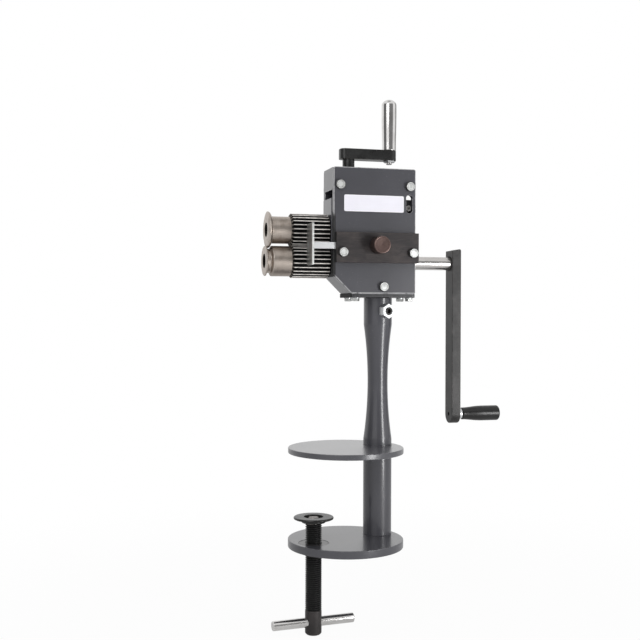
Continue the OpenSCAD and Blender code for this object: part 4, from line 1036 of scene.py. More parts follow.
def smooth(piece: Piece, angle: float = 38.0, weight: int = PLAIN_WEIGHT) -> None:
    """Smooth shading up to an angle, with flat faces kept flat.

    Args:
        piece: The piece.
        angle: Edges sharper than this, in degrees, stay sharp.
        weight: Weight of the large faces, from 1 to 100.
    """
    activate(piece)
    bpy.ops.object.shade_smooth_by_angle(angle=math.radians(angle))
    apply_modifier(piece, "WEIGHTED_NORMAL", keep_sharp=True, weight=weight)


def settle(piece: Piece, place: Matrix) -> Piece:
    """Moves a piece made in millimetres to its place, which goes into its mesh.

    Args:
        piece: The piece.
        place: Where its frame stands, in metres.

    Returns:
        The piece.
    """
    activate(piece)
    piece.matrix_world = place @ Matrix.Scale(MM, 4)
    bpy.ops.object.transform_apply(location=True, rotation=True, scale=True)
    return piece


def copied(piece: Piece, name: str) -> Piece:
    """A copy of a piece with a mesh of its own.

    Args:
        piece: The piece.
        name: Name of the copy.

    Returns:
        The copy.
    """
    other = piece.copy()
    other.data = piece.data.copy()
    other.name = other.data.name = name
    bpy.context.scene.collection.objects.link(other)
    return other


def rounded(points: Sequence[Point], cuts: int) -> list[Point]:
    """A smooth line through points.

    Args:
        points: The points, with the line's ends first and last.
        cuts: Steps between two points.

    Returns:
        Points on the smooth line.
    """
    ends = [points[0], *points, points[-1]]
    line = []
    for before, start, end, after in zip(ends, ends[1:], ends[2:], ends[3:]):
        for step in range(cuts):
            t = step / cuts
            line.append(tuple(
                0.5 * (2 * b + (c - a) * t + (2 * a - 5 * b + 4 * c - d) * t**2
                       + (3 * b - a - 3 * c + d) * t**3)
                for a, b, c, d in zip(before, start, end, after)
            ))
    return [*line, points[-1]]


def straight(start: Point, end: Point, steps: int) -> list[Point]:
    """Points on a straight line, with both of its ends."""
    shares = [step / steps for step in range(steps + 1)]
    return [tuple(a + (b - a) * share for a, b in zip(start, end)) for share in shares]


def quarter(centre: Point, size: Point, step: int) -> list[Point]:
    """A quarter of an ellipse from its side to its top, with a point every so many degrees."""
    turns = [math.radians(angle) for angle in range(0, 91, step)]
    return [(centre[0] + size[0] * math.cos(t), centre[1] + size[1] * math.sin(t)) for t in turns]


def within(point: Point, limit: float) -> Point:
    """A point, drawn in to a circle about the origin where it is outside."""
    share = min(1.0, limit / math.hypot(*point))
    return point[0] * share, point[1] * share


def middle(node: str) -> Vector:
    """Centre of a node's box."""
    low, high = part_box(node)
    return (low + high) / 2


def extent(node: str, axis: str) -> float:
    """Length of a node along x, y or z, in millimetres."""
    low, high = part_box(node)
    return (getattr(high, axis) - getattr(low, axis)) / MM


def standing(node: str) -> Matrix:
    """Frame on the axis of an upright node, with z up from its lowest point."""
    centre = middle(node)
    return Matrix.Translation((centre.x, centre.y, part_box(node)[0].z))


# Frames whose z runs to the crank and to the front
TO_CRANK = Matrix(((0, 0, 1, 0), (1, 0, 0, 0), (0, 1, 0, 0), (0, 0, 0, 1)))
TO_FRONT = Matrix(((1, 0, 0, 0), (0, 0, -1, 0), (0, 1, 0, 0), (0, 0, 0, 1)))


def lying(node: str) -> Matrix:
    """Frame on the axis of a node that lies along x, with z from its left end to the crank."""
    centre = middle(node)
    return Matrix.Translation((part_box(node)[0].x, centre.y, centre.z)) @ TO_CRANK


def fit(piece: Piece, finish: Finish, *nodes: str) -> None:
    """Dresses a piece that stands for nodes and lets it ride on their body.

    Args:
        piece: The piece, in place.
        finish: Its finish.
        nodes: The nodes that it stands for.
    """
    piece.data.materials.clear()
    piece.data.materials.append(finish.material())
    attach(piece, BODY_OF[nodes[0]])
    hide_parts(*nodes)
    log.info("%s: %d faces, %s", piece.name, len(piece.data.polygons), finish.name)


def carve(
    node: str, name: str, finish: Finish, width: float, segments: int = 2, span: float = 0.0
) -> None:
    """Cuts a piece to a node's own form, eases its edges and fits it in the node's place.

    Args:
        node: CAD node whose form it has.
        name: Name of the piece.
        finish: Its finish.
        width: Width of the eased edges, in millimetres.
        segments: Faces across an eased edge.
        span: Where given, chains of edges longer than this, in millimetres, get the full width.
    """
    piece = bpy.data.objects.new(name, frame["nodes"][node].data.copy())
    piece.data.name = name
    piece.data.materials.clear()
    bpy.context.scene.collection.objects.link(piece)
    with editing(piece):
        bpy.ops.mesh.customdata_custom_splitnormals_clear()
        bpy.ops.mesh.remove_doubles(threshold=SAME_PLACE)
        bpy.ops.mesh.dissolve_limited(angle_limit=math.radians(SAME_PLANE))
    ease(piece, width * MM, segments, span=span * MM)
    fit(piece, finish, node)


def dress(node: str, finish: Finish) -> None:
    """Gives a node that stays as it is its finish.

    Args:
        node: The CAD node.
        finish: Its finish.
    """
    mesh = frame["nodes"][node].data
    mesh.materials.clear()
    mesh.materials.append(finish.material())
    log.info("%s: kept, %s", node, finish.name)


# Sub-assemblies


@dataclass
class Stand:
    """The two discs and the waisted column between them, with its lock screw."""

    column_r: float = 21.2
    wall: float = 3.2
    neck_start: float = 17.0
    neck_end: float = 189.0
    waist_r: float = 15.0
    inner_reach: float = 14.0
    rim_round: float = 1.0

    def column(self) -> Piece:
        """Turns the column tube, with a fine arc to its waist.

        Returns:
            The tube, in place.
        """
        low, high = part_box("column")
        bottom, top = low.z / MM, high.z / MM
        half = (self.neck_end - self.neck_start) / 2
        depth = self.column_r - self.waist_r
        arc = (half**2 + depth**2) / (2 * depth)
        mid = (self.neck_start + self.neck_end) / 2

        def neck(wall: float, steps: int) -> list[Point]:
            """Points of the waist.

            Args:
                wall: Distance from the outer face, 0 for that face itself.
                steps: Number of steps.

            Returns:
                Points of radius and height, upwards.
            """
            reach = math.sqrt((arc + wall) ** 2 - arc**2 + half**2)
            reach = min(reach, half + self.inner_reach)
            limit = self.column_r - wall
            heights = [-reach + 2 * reach * step / steps for step in range(steps + 1)]
            return [
                (min(limit, self.waist_r + arc - math.sqrt((arc + wall) ** 2 - z**2)), mid + z)
                for z in heights
            ]

        outer = [(self.column_r, bottom), *neck(0.0, 56), (self.column_r, top)]
        inner = [(self.column_r - self.wall, top), *reversed(neck(self.wall, 24)),
                 (self.column_r - self.wall, bottom)]
        piece = turned("column_tube", [*outer, *inner], steps=128)
        ease(piece, 0.5)
        centre = middle("column")
        return settle(piece, Matrix.Translation((centre.x, centre.y, 0.0)))

    def build(self) -> None:
        """Builds the stand."""
        fit(self.column(), PAINT, "column")
        glossy = GlossPaint("disc_gloss_paint", "paint", coat=0.8, coat_rough=0.3)
        welded = GlossPaint("nut_gloss_paint", "paint", colour=(0.040, 0.038, 0.040), coat=0.1)
        carve("bench_disc", "upper_disc", glossy, self.rim_round, 3)
        carve("clamp_disc", "lower_disc", PAINT, self.rim_round, 3)
        carve("clamp_nut", "welded_nut", welded, 0.6)
        carve("lock_nut", "column_lock_nut", ZINC, 0.7, 3)
        carve("lock_screw", "column_lock_screw", GUN_BLACK, 0.4)


@dataclass
class BenchClamp:
    """Screw, pad and bar of the clamp under the bench."""

    screw_r: float = 12.0
    pitch: float = 3.0
    plain_end: float = 36.5
    end_round: float = 2.4
    end_chamfer: float = 1.8
    core_drop: float = 1.6
    shoulder: float = 1.0
    thread_stop: float = 1.2
    neck_r: float = 5.7
    nose_r: float = 8.0
    nose_h: float = 2.6
    nose_top: float = 0.85
    pad_gap: float = 0.3
    pad_r: float = 29.0
    pad_hole_r: float = 5.8
    collar_r: float = 17.4
    pad_rim: float = 3.6
    collar_chamfer: float = 0.6
    recess_chamfer: float = 0.5
    recess_r: float = 14.0
    web: float = 5.0
    bar_dome: float = 0.9
    screw_top: float = field(init=False)
    nose_z: float = field(init=False)

    def __post_init__(self) -> None:
        """Works out where the screw's full diameter ends and where its nose starts."""
        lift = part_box("clamp_pad")[0].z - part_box("clamp_screw")[0].z
        self.screw_top = lift / MM - self.pad_gap
        self.nose_z = extent("clamp_screw", "z") - self.nose_h

    def screw(self) -> None:
        """Builds the clamp screw: plain end, thread, and neck with the worn nose."""
        plain = turned("clamp_screw_end", [
            (0, 0), (self.screw_r - self.end_round, 0), (self.screw_r, self.end_round),
            (self.screw_r, self.plain_end - self.end_chamfer),
            (self.screw_r - self.end_chamfer, self.plain_end), (0, self.plain_end),
        ], steps=72)
        ease(plain, 0.7)
        low, high = self.plain_end - self.shoulder, self.screw_top - self.thread_stop
        thread = threaded("clamp_screw_thread", self.screw_r, self.pitch, low, high)
        smooth(thread)
        core_r, start = self.screw_r - self.core_drop, self.screw_top - self.pitch
        nose = turned("clamp_screw_nose", [
            (0, start), (core_r, start), (core_r, self.screw_top - self.shoulder),
            (core_r - self.shoulder, self.screw_top), (self.neck_r, self.screw_top),
            (self.neck_r, self.nose_z), (self.nose_r, self.nose_z),
            (self.nose_r * self.nose_top, self.nose_z + self.nose_h - 0.4),
            (self.nose_r * 0.45, self.nose_z + self.nose_h - 0.1), (0, self.nose_z + self.nose_h),
        ], steps=72)
        ease(nose, 0.3)
        place = standing("clamp_screw")
        thread, plain, nose = (settle(piece, place) for piece in (thread, plain, nose))
        fit(thread, THREAD_BLACK, "clamp_screw")
        fit(plain, END_BLACK, "clamp_screw")
        worn = TurnedSteel(
            "worn_nose", "black_steel", centre=tuple(place.translation), along="Z",
            colour=(0.24, 0.22, 0.205), stain=(0.10, 0.085, 0.08), bright=(0.36, 0.34, 0.33),
        )
        fit(nose, worn, "clamp_screw")

    def pad(self) -> Piece:
        """Turns the loose pad on the screw's nose.

        Returns:
            The pad, in place.
        """
        height = extent("clamp_pad", "z")
        rim = height - self.pad_rim
        low, top = self.collar_chamfer, self.recess_chamfer
        edge = [(self.pad_r - 1.4, 0.0), (self.pad_r - 0.4, 0.5), (self.pad_r, 1.6)]
        piece = turned("clamp_pad_disc", [
            (self.pad_hole_r, 0), (self.collar_r - low, 0), (self.collar_r, low),
            (self.collar_r, rim), *[(r, rim + h) for r, h in edge],
            *[(r, height - h) for r, h in reversed(edge)], (self.recess_r + top, height),
            (self.recess_r, height - top), (self.recess_r, self.web), (self.pad_hole_r, self.web),
        ])
        ease(piece, 0.35)
        return settle(piece, standing("clamp_pad"))

    def bar(self) -> Piece:
        """Turns the tommy bar, with softly domed ends.

        Returns:
            The bar, in place.
        """
        solid = [v.co for v in frame["nodes"]["tommy_bar"].data.vertices]
        centre = middle("tommy_bar")
        far = max(solid, key=lambda co: co.x)
        radius = extent("tommy_bar", "z") / 2
        turn = math.atan2(
            sum((co.x - centre.x) * (co.y - centre.y) for co in solid),
            sum((co.x - centre.x) ** 2 for co in solid),
        )
        length = 2 * ((far.x - centre.x) / MM - radius * abs(math.sin(turn))) / math.cos(turn)
        end = length / 2
        side = [(radius - self.bar_dome, end - 0.3), (radius - 0.3, end - 0.7), (radius, end - 1.4)]
        piece = turned("tommy_bar_steel", [
            (0, -end), (radius * 0.6, -end + 0.1),
            *[(r, -h) for r, h in side], *reversed(side), (radius * 0.6, end - 0.1), (0, end),
        ], steps=64)
        ease(piece, 0.3, angle=25.0)
        place = Matrix.Translation(centre) @ Matrix.Rotation(turn, 4, "Z") @ TO_CRANK
        return settle(piece, place)

    def build(self) -> None:
        """Builds the clamp."""
        self.screw()
        fit(self.pad(), GUN_BLACK, "clamp_pad")
        fit(self.bar(), POLISHED, "tommy_bar")


@dataclass
class HexBolt:
    """A hexagon bolt whose head is chamfered round, with its flats at any turn."""

    flats: float
    head_h: float
    shank_r: float
    shank: float
    chamfer: float = 0.9
    # These bound the head faces, by the z of their normals, that are marked like eased edges, so that
    # the bolt finish paints shade on the chamfer and the sides
    dark_below: float = 0.3
    flat_above: float = 0.97
    rim_share: float = 0.1
    slope_share: float = 0.03
    dish: float = 0.18
    sink: float = 0.5
    shank_chamfer: float = 1.0

    def piece(self, name: str) -> Piece:
        """The bolt, with its head below z = 0 and its shank above.

        Args:
            name: Name of the piece.

        Returns:
            The bolt, in millimetres.
        """
        corner = self.flats / math.sqrt(3)
        bpy.ops.object.select_all(action="DESELECT")
        bpy.ops.mesh.primitive_cylinder_add(
            vertices=6, radius=corner, depth=self.head_h, location=(0, 0, -self.head_h / 2)
        )
        head = bpy.context.active_object
        head.name = head.data.name = name
        bpy.ops.object.transform_apply(location=True)
        face_r, side_r, rise = self.flats / 2 - 0.35, self.flats / 2 + 0.1, 0.12
        cone = turned("cone", [
            (0, -self.head_h), (face_r, -self.head_h), (side_r, rise - self.head_h),
            (corner + 0.4, self.chamfer + rise - self.head_h), (corner + 0.4, 0.0), (0, 0.0),
        ], steps=72)
        apply_modifier(head, "BOOLEAN", operation="INTERSECT", object=cone, solver="EXACT")
        bpy.data.objects.remove(cone)
        pick(head, lambda face: face.normal.z < -0.99)
        with editing(head, "FACE", None):
            bpy.ops.mesh.inset(thickness=self.flats * self.rim_share, depth=0.0)
            bpy.ops.mesh.inset(thickness=self.flats * self.slope_share, depth=-self.dish)
        close_up(head)
        ease(head, 0.25, angle=24.0)
        # The chamfer and side faces are marked so that the bolt finish paints shade on them
        marks = head.data.attributes[EDGE].data
        for face, mark in zip(head.data.polygons, marks):
            if -self.flat_above < face.normal.z < self.dark_below:
                mark.value = 1.0
        point = self.shank_chamfer
        shank = turned("shank", [
            (0, -self.sink), (self.shank_r, -self.sink), (self.shank_r, self.shank - point),
            (self.shank_r - point, self.shank), (0, self.shank),
        ], steps=40)
        ease(shank, 0.2)
        return joined([head, shank])


@dataclass
class Head:
    """Plates, fixed blocks and bolts of the head, with the label plate."""

    plate_edge: float = 1.2
    block_edge: float = 0.8
    # Depth below the base plate's top in which edges take the light primer: wear and a painted
    # highlight
    rubbed_lit_depth: float = 1.5
    # Reach of the painted shade from the left end of the front plate, and from the left end of the
    # base plate
    plate_shade: float = 2.6
    base_shade: float = 0.6
    plate_bolt_turns: tuple[float, ...] = (7.0, -11.0, 24.0)
    rail_bolt_turns: tuple[float, ...] = (14.0, -4.0)
    base_bolt_turns: tuple[float, ...] = (20.0, -8.0, 33.0, 12.0)

    def bolts(self, group: str, bolt: HexBolt, along: str, turns: Sequence[float]) -> None:
        """Models one bolt and copies it to every seat of its node.

        Args:
            group: First word of the node's name and of the pieces' names.
            bolt: The bolt.
            along: Axis of the bolts, Y or Z.
            turns: Turn of each head, in degrees.
        """
        first = bolt.piece(f"{group}_bolt_1")
        places = seats(f"{group}_bolts", along, bolt.head_h)
        pieces = [first, *[copied(first, f"{group}_bolt_{n + 1}") for n in range(1, len(places))]]
        facing = Matrix.Rotation(math.radians(-90), 4, "X") if along == "Y" else Matrix.Identity(4)
        for piece, place, turn in zip(pieces, places, turns):
            turned_head = Matrix.Rotation(math.radians(turn), 4, "Z")
            settle(piece, Matrix.Translation(place) @ facing @ turned_head)
            fit(piece, BOLT_ZINC, f"{group}_bolts")

    def label(self) -> None:
        """The bare label plate, with a lighter border."""
        low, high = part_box("label_plate")
        centre = (low + high) / 2
        half = ((high.x - low.x) / 2, (high.z - low.z) / 2)
        finish = BlankPlate("blank_label", "label", centre=tuple(centre), half=half)
        carve("label_plate", "bare_label_plate", finish, 0.15)

    def build(self) -> None:
        """Builds the head."""
        rolls = (middle("lower_crimp_roll") + middle("upper_crimp_roll")) / 2
        # Light primer on rubbed edges: wear, and a painted highlight along the edges of the plates,
        # blocks and base plate
        worn = {"primer_and_highlight": (0.42, 0.42, 0.43), "rubbed_lit_share": 1.0, "patchy": (0.28, 0.5)}
        # The head's paint has painted shade, near black, on its left faces between the rolls' ends
        # and the plates
        rubbed = GlossPaint(
            "rubbed_lit_shaded_gloss_paint", "paint", shade_end=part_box("front_plate")[0].x + self.plate_shade * MM,
            shade_axis=(rolls.y, rolls.z), **worn,
        )
        low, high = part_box("base_plate")
        # The base plate's paint has painted shade on its left end, and only its top edges take the
        # light primer, a painted highlight
        base_paint = GlossPaint(
            "dark_gloss_paint", "paint", colour=(0.020, 0.020, 0.023), shade_reach=1.0,
            rubbed_lit_above=high.z - self.rubbed_lit_depth * MM, shade_end=low.x + self.base_shade * MM, **worn,
        )
        carve("front_plate", "front_head_plate", rubbed, self.plate_edge, 3, LONG_EDGE)
        carve("rear_plate", "rear_head_plate", rubbed, self.plate_edge, 3, LONG_EDGE)
        carve("top_block", "upper_head_block", rubbed, self.block_edge, 3, LONG_EDGE)
        carve("lower_block", "lower_bearing_block", rubbed, self.block_edge, 3, LONG_EDGE)
        carve("base_plate", "head_base_plate", base_paint, 1.0, 3, LONG_EDGE)
        carve("base_washers", "base_washer_set", ZINC, 0.2)
        carve("plate_nuts", "rear_nuts", ZINC, 0.4)
        carve("lower_bushes", "lower_bush_pair", bronze("lower_bushes"), 0.5)
        browned = BrownedPlate("browned_rail", "brown_steel", left=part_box("gauge_rail")[0].x)
        carve("gauge_rail", "gauge_rail_bar", browned, 0.5, 3, LONG_EDGE)
        m8 = {"flats": 13.0, "head_h": 5.3, "shank_r": 4.0}
        self.bolts("plate", HexBolt(**m8, shank=72.5), "Y", self.plate_bolt_turns)
        self.bolts("rail", HexBolt(**m8, shank=27.0), "Y", self.rail_bolt_turns)
        m6 = HexBolt(flats=10.0, head_h=4.0, shank_r=3.0, shank=21.5, chamfer=0.7, dark_below=-0.2)
        self.bolts("base", m6, "Z", self.base_bolt_turns)
        self.label()
        dress("head_post", BLACK)


# Metres: vertices this close in height are level, and this close together are of one bolt's head
SAME_HEIGHT = 1e-5
HEAD_SPAN = 0.02


def seats(node: str, along: str, head_h: float) -> list[Vector]:
    """Where the bolts of a node sit.

    Args:
        node: Node that holds the bolts.
        along: Axis of the bolts, Y or Z.
        head_h: Height of a head, in millimetres.

    Returns:
        Centres of the seats under the heads, from left to right.
    """
    mesh = frame["nodes"][node].data
    axis = "XYZ".index(along)
    sides = [n for n in range(3) if n != axis]
    lowest = min(v.co[axis] for v in mesh.vertices)
    heads = [v.co for v in mesh.vertices if v.co[axis] < lowest + SAME_HEIGHT]
    groups: list[list[Vector]] = []
    for co in heads:
        for group in groups:
            if (co - group[0]).length < HEAD_SPAN:
                group.append(co)
                break
        else:
            groups.append([co])
    places = []
    for group in groups:
        place = Vector((0.0, 0.0, 0.0))
        place[axis] = lowest + head_h * MM
        for side in sides:
            values = [co[side] for co in group]
            place[side] = (min(values) + max(values)) / 2
        places.append(place)
    return sorted(places, key=lambda p: (round(p.x, 4), p.y, p.z))


def bronze(node: str) -> TurnedSteel:
    """Turned bronze about a node's own axis.

    Args:
        node: The CAD node.

    Returns:
        The finish.
    """
    return TurnedSteel(
        f"bronze_{node}", "bronze", centre=tuple(middle(node)), colour=(0.56, 0.36, 0.12),
        stain=(0.34, 0.20, 0.07), bright=(0.80, 0.60, 0.28), roughness=0.3,
    )


@dataclass
class BearingSlide:
    """The sliding block with its bushes, keeper and guide screw."""

    block_edge: float = 0.8

    def build(self) -> None:
        """Builds the slide."""
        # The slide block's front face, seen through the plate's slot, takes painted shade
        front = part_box("slide_block")[0].y
        front_shaded = GlossPaint("slide_gloss_paint", "paint", shaded_front=front + CRISP)
        carve("slide_block", "bearing_slide_block", front_shaded, self.block_edge, 3, LONG_EDGE)
        carve("upper_bushes", "upper_bush_pair", bronze("upper_bushes"), 0.5)
        carve("guide_screw", "guide_cap_screw", RIM_BLACK, 0.5)
        carve("keeper_plate", "keeper_plate_steel", GROUND, 0.4)
        carve("keeper_screws", "keeper_screw_pair", ZINC, 0.3)


class Level(Enum):
    """The two shafts."""

    UPPER = "upper"
    LOWER = "lower"


@dataclass
class ToothForm:
    """Involute teeth of the crimp rolls, with rounded tips and feet."""

    teeth: int = 24
    module: float = 1.89
    play: float = 0.25
    pressure: float = 20.0
    turn: float = 6.1
    head_share: float = 1.12
    foot_share: float = 1.32
    pitch_r: float = field(init=False)
    tip_r: float = field(init=False)
    root_r: float = field(init=False)
    base_r: float = field(init=False)
    thickness: float = field(init=False)

    def __post_init__(self) -> None:
        """Works out the circles and the thickness at the pitch circle."""
        self.pitch_r = self.module * self.teeth / 2
        self.tip_r = self.pitch_r + self.head_share * self.module
        self.root_r = self.pitch_r - self.foot_share * self.module
        self.base_r = self.pitch_r * math.cos(math.radians(self.pressure))
        self.thickness = math.pi * self.module / 2 - self.play

    def unwound(self, radius: float) -> float:
        """Angle in degrees that the involute has unwound at a radius."""
        angle = math.acos(min(1.0, self.base_r / radius))
        return math.degrees(math.tan(angle) - angle)

    def half(self, radius: float) -> float:
        """Half of a tooth's angle at a radius, in degrees."""
        at_pitch = math.degrees(self.thickness / (2 * self.pitch_r))
        return at_pitch + self.unwound(self.pitch_r) - self.unwound(max(radius, self.base_r))

    def outline(self, first: float) -> list[Point]:
        """Outline of the roll.

        Args:
            first: Angle of the first tooth, in degrees.

        Returns:
            Points round the axis, anticlockwise.
        """
        base = self.base_r
        flank = [base, base + 0.7, base + 1.5, self.tip_r - 0.45]
        foot = [
            (self.root_r, self.half(self.root_r) + 1.3),
            (self.root_r + 0.25, self.half(base) + 0.45),
        ]
        tip = [
            (self.tip_r - 0.12, self.half(self.tip_r - 0.3) - 0.12),
            (self.tip_r, self.half(self.tip_r) - 0.75),
        ]
        side = [*foot, *[(r, self.half(r)) for r in flank], *tip]
        tooth = [*[(r, -half) for r, half in side], *reversed(side)]
        middles = [first + 360.0 * n / self.teeth for n in range(self.teeth)]
        points = [(r, math.radians(mid + half)) for mid in middles for r, half in tooth]
        return [(r * math.cos(t), r * math.sin(t)) for r, t in points]


@dataclass
class RollPair:
    """A shaft's bead roll and crimp roll, with screw, key and snap ring."""

    level: Level
    teeth: ToothForm = field(default_factory=ToothForm)
    bore_r: float = 10.06
    recess_r: float = 10.3
    recess: float = 17.0
    web: float = 5.0
    hole_r: float = 4.3
    mouth: float = 0.5
    face_r: float = 20.98
    rim_r: float = 26.98
    body_r: float = 19.88
    rise: float = 1.6
    flare_end: float = 6.4
    upper_length: float = 34.2
    lower_length: float = 37.7
    left_bevel: Point = (2.6, 4.8)
    right_bevel: Point = (1.2, 1.6)
    clear: float = 0.3
    groove: tuple[Point, ...] = (
        (21.18, 0.0), (21.98, 0.8), (21.98, 1.7), (21.7, 2.1), (18.1, 3.5), (17.68, 4.0),
        (17.68, 7.3), (18.1, 7.85), (21.8, 9.9), (22.28, 10.6),
    )

    def bore(self, length: float) -> list[Point]:
        """The inner side of the bead roll, from its right end to its left.

        Args:
            length: Length of the roll.

        Returns:
            Points of radius and height.
        """
        seat = self.recess + self.web
        return [
            (self.bore_r, length), (self.bore_r, seat), (self.hole_r, seat),
            (self.hole_r, self.recess), (self.recess_r, self.recess),
            (self.recess_r, self.mouth), (self.recess_r + self.mouth, 0.0),
        ]

    def outer(self) -> list[Point]:
        """The outer side of the bead roll, from its left end to its right.

        Returns:
            Points of radius and height.
        """
        if self.level is Level.UPPER:
            flare = quarter(
                (self.body_r, self.rise), (self.rim_r - self.body_r, self.flare_end - self.rise), 6
            )
            return [(self.face_r, 0.0), *flare, (self.body_r, self.upper_length)]
        return [*self.groove, (self.groove[-1][0], self.lower_length)]

    def bead_roll(self) -> Piece:
        """Turns the bead roll, with its end recess.

        Returns:
            The roll, in place.
        """
        outline = self.outer()
        outline += self.bore(outline[-1][1])
        piece = turned(f"{self.level.value}_bead_roll_steel", outline, steps=112)
        ease(piece, 0.45, 3, angle=28.0)
        return settle(piece, lying(f"{self.level.value}_bead_roll"))

    def crimp_roll(self) -> Piece:
        """Makes the toothed roll, bevelled at both ends.

        Returns:
            The roll, in place.
        """
        node = f"{self.level.value}_crimp_roll"
        length = extent(node, "x")
        first = 90.0 - self.teeth.turn
        if self.level is Level.UPPER:
            first = 180.0 / self.teeth.teeth - first
        outline = self.teeth.outline(first)
        over = self.teeth.tip_r + self.clear
        left_depth, right_depth = self.left_bevel[1] + self.clear, self.right_bevel[1] + self.clear
        ends = [
            *straight((0.0, over - left_depth), (self.left_bevel[0], over), 10),
            *straight((length - self.right_bevel[0], over), (length, over - right_depth), 5),
        ]
        rings = [[(*within(point, limit), z) for point in outline] for z, limit in ends]
        bore = [within(point, self.bore_r) for point in outline]
        rings += [[(x, y, z) for x, y in bore] for z in (length, 0.0)]
        rings.append(rings[0])
        piece = lofted(f"{self.level.value}_crimp_roll_steel", rings)
        smooth(piece, 44.0)
        return settle(piece, lying(node))

    def build(self) -> None:
        """Builds the shaft's pieces."""
        level = self.level.value
        centre = tuple(middle(f"{level}_bead_roll"))
        # The bead roll's end recess takes painted shade
        turned_steel = TurnedSteel(
            f"{level}_turned_steel", "bare_steel", centre=centre, shade_radius=(self.recess_r + 0.15) * MM
        )
        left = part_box(f"{level}_crimp_roll")[0].x
        toothed = ToothedSteel(f"{level}_toothed_steel", "bare_steel", centre=centre, left=left)
        fit(self.bead_roll(), turned_steel, f"{level}_bead_roll")
        fit(self.crimp_roll(), toothed, f"{level}_crimp_roll")
        carve(f"{level}_shaft", f"{level}_ground_shaft", GROUND, 0.5)
        carve(f"{level}_roll_screw", f"{level}_cap_screw", GUN_BLACK, 0.4)
        carve(f"{level}_retaining_ring", f"{level}_snap_ring", GUN_BLACK, 0.15)
        dress(f"{level}_key", BLACK)


@dataclass
class Crank:
    """The crank arm with its grip and screws."""

    arm_edge: float = 0.9
    swell: tuple[Point, ...] = ((0, 0), (0.12, 0.12), (0.25, 0.42), (0.4, 0.8), (0.55, 1))
    base_r: float = 9.1
    grip_r: float = 11.5
    end_round: float = 3.0
    bore_r: float = 5.06
    head_hole_r: float = 7.8
    head_hole: float = 4.6

    def grip(self) -> Piece:
        """Turns the black grip, with its swell and its end recess.

        Returns:
            The grip, in place.
        """
        length = extent("crank_grip", "x")
        barrel = length - self.end_round
        line = rounded([
            (self.base_r + size * (self.grip_r - self.base_r), share * barrel)
            for share, size in self.swell
        ], 5)
        end = quarter((self.grip_r - self.end_round, barrel), (self.end_round, self.end_round), 15)
        piece = turned("grip_resin", [
            (self.bore_r, 0), (self.base_r - 0.8, 0), (self.base_r, 0.7), *line[1:], *end,
            (self.head_hole_r, length), (self.head_hole_r, length - self.head_hole),
            (self.bore_r, length - self.head_hole),
        ])
        ease(piece, 0.3, angle=30.0)
        return settle(piece, lying("crank_grip"))

    def build(self) -> None:
        """Builds the crank."""
        carve("crank_arm", "crank_arm_bar", ARM_BLACK, self.arm_edge, 3, LONG_EDGE)
        carve("arm_grub_screw", "arm_set_screw", GUN_BLACK, 0.3)
        carve("grip_spindle", "grip_pin", ZINC, 0.5)
        fit(self.grip(), RESIN, "crank_grip")


@dataclass
class AdjustingCrank:
    """The adjusting screw with its small crank and polished handle."""

    foot_r: float = 8.6
    foot_h: float = 5.0
    neck_r: float = 5.8
    screw_r: float = 9.0
    pitch: float = 2.0
    nose_r: float = 8.0
    neck_gap: float = 0.6
    overlap: float = 0.5
    chamfer: float = 0.8
    foot_round: float = 0.7
    collar_sink: float = 3.0
    arm_edge: float = 0.8
    handle_r: float = 11.4
    handle_foot_r: float = 10.7
    handle_l: float = 77.0
    stud_r: float = 4.5

    def screw(self) -> Piece:
        """Makes the adjusting screw, with its foot, thread and nose.

        Returns:
            The screw, in place.
        """
        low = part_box("adjust_screw")[0]
        arm_low = (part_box("adjust_arm")[0].z - low.z) / MM
        top = extent("adjust_screw", "z")
        neck = (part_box("slide_block")[1].z - low.z) / MM + self.neck_gap
        collar = (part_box("top_block")[1].z - low.z) / MM - self.collar_sink
        end = collar + self.overlap
        thread = threaded("adjusting_screw_steel", self.screw_r, self.pitch, neck, end)
        smooth(thread)
        foot = turned("foot", [
            (0, 0), (self.foot_r, 0), (self.foot_r, self.foot_h), (self.neck_r, self.foot_h),
            (self.neck_r, neck + 2 * self.overlap), (0, neck + 2 * self.overlap),
        ], steps=64)
        ease(foot, 0.4)
        nose = turned("nose", [
            (0, collar), (self.screw_r, collar), (self.screw_r, arm_low), (self.nose_r, arm_low),
            (self.nose_r, top - self.chamfer), (self.nose_r - self.chamfer, top), (0, top),
        ], steps=64)
        ease(nose, 0.3)
        return settle(joined([thread, foot, nose]), standing("adjust_screw"))

    def handle(self) -> Piece:
        """Turns the polished handle, with its stud.

        Returns:
            The handle, in place.
        """
        foot, full = self.handle_foot_r, self.handle_r
        length, dome_h = self.handle_l, 0.8 * self.handle_r
        swell = [
            (foot + (full - foot) * (1 - math.cos(math.pi * share)) / 2, height)
            for share, height in straight((0.0, 0.1 * length), (1.0, 0.65 * length), 20)
        ]
        dome = quarter((0.0, length - dome_h), (full, dome_h), 6)
        stud = extent("adjust_handle", "z") - length
        outline = [
            (0, -stud), (self.stud_r - self.chamfer, -stud), (self.stud_r, self.chamfer - stud),
            (self.stud_r, 0), (foot - self.foot_round, 0), (foot, self.foot_round), *swell,
            *dome[:-1], (0, length),
        ]
        piece = turned("polished_handle", [(r, h + stud) for r, h in outline])
        ease(piece, 0.3, angle=30.0)
        return settle(piece, standing("adjust_handle"))

    def build(self) -> None:
        """Builds the adjusting crank."""
        fit(self.screw(), GUN_BLACK, "adjust_screw")
        carve("adjust_arm", "adjusting_arm", GUN_BLACK, self.arm_edge, 3, LONG_EDGE)
        carve("adjust_grub_screw", "adjusting_set_screw", GUN_BLACK, 0.3)
        fit(self.handle(), POLISHED, "adjust_handle")
        carve("handle_nut", "handle_stud_nut", ZINC, 0.4)


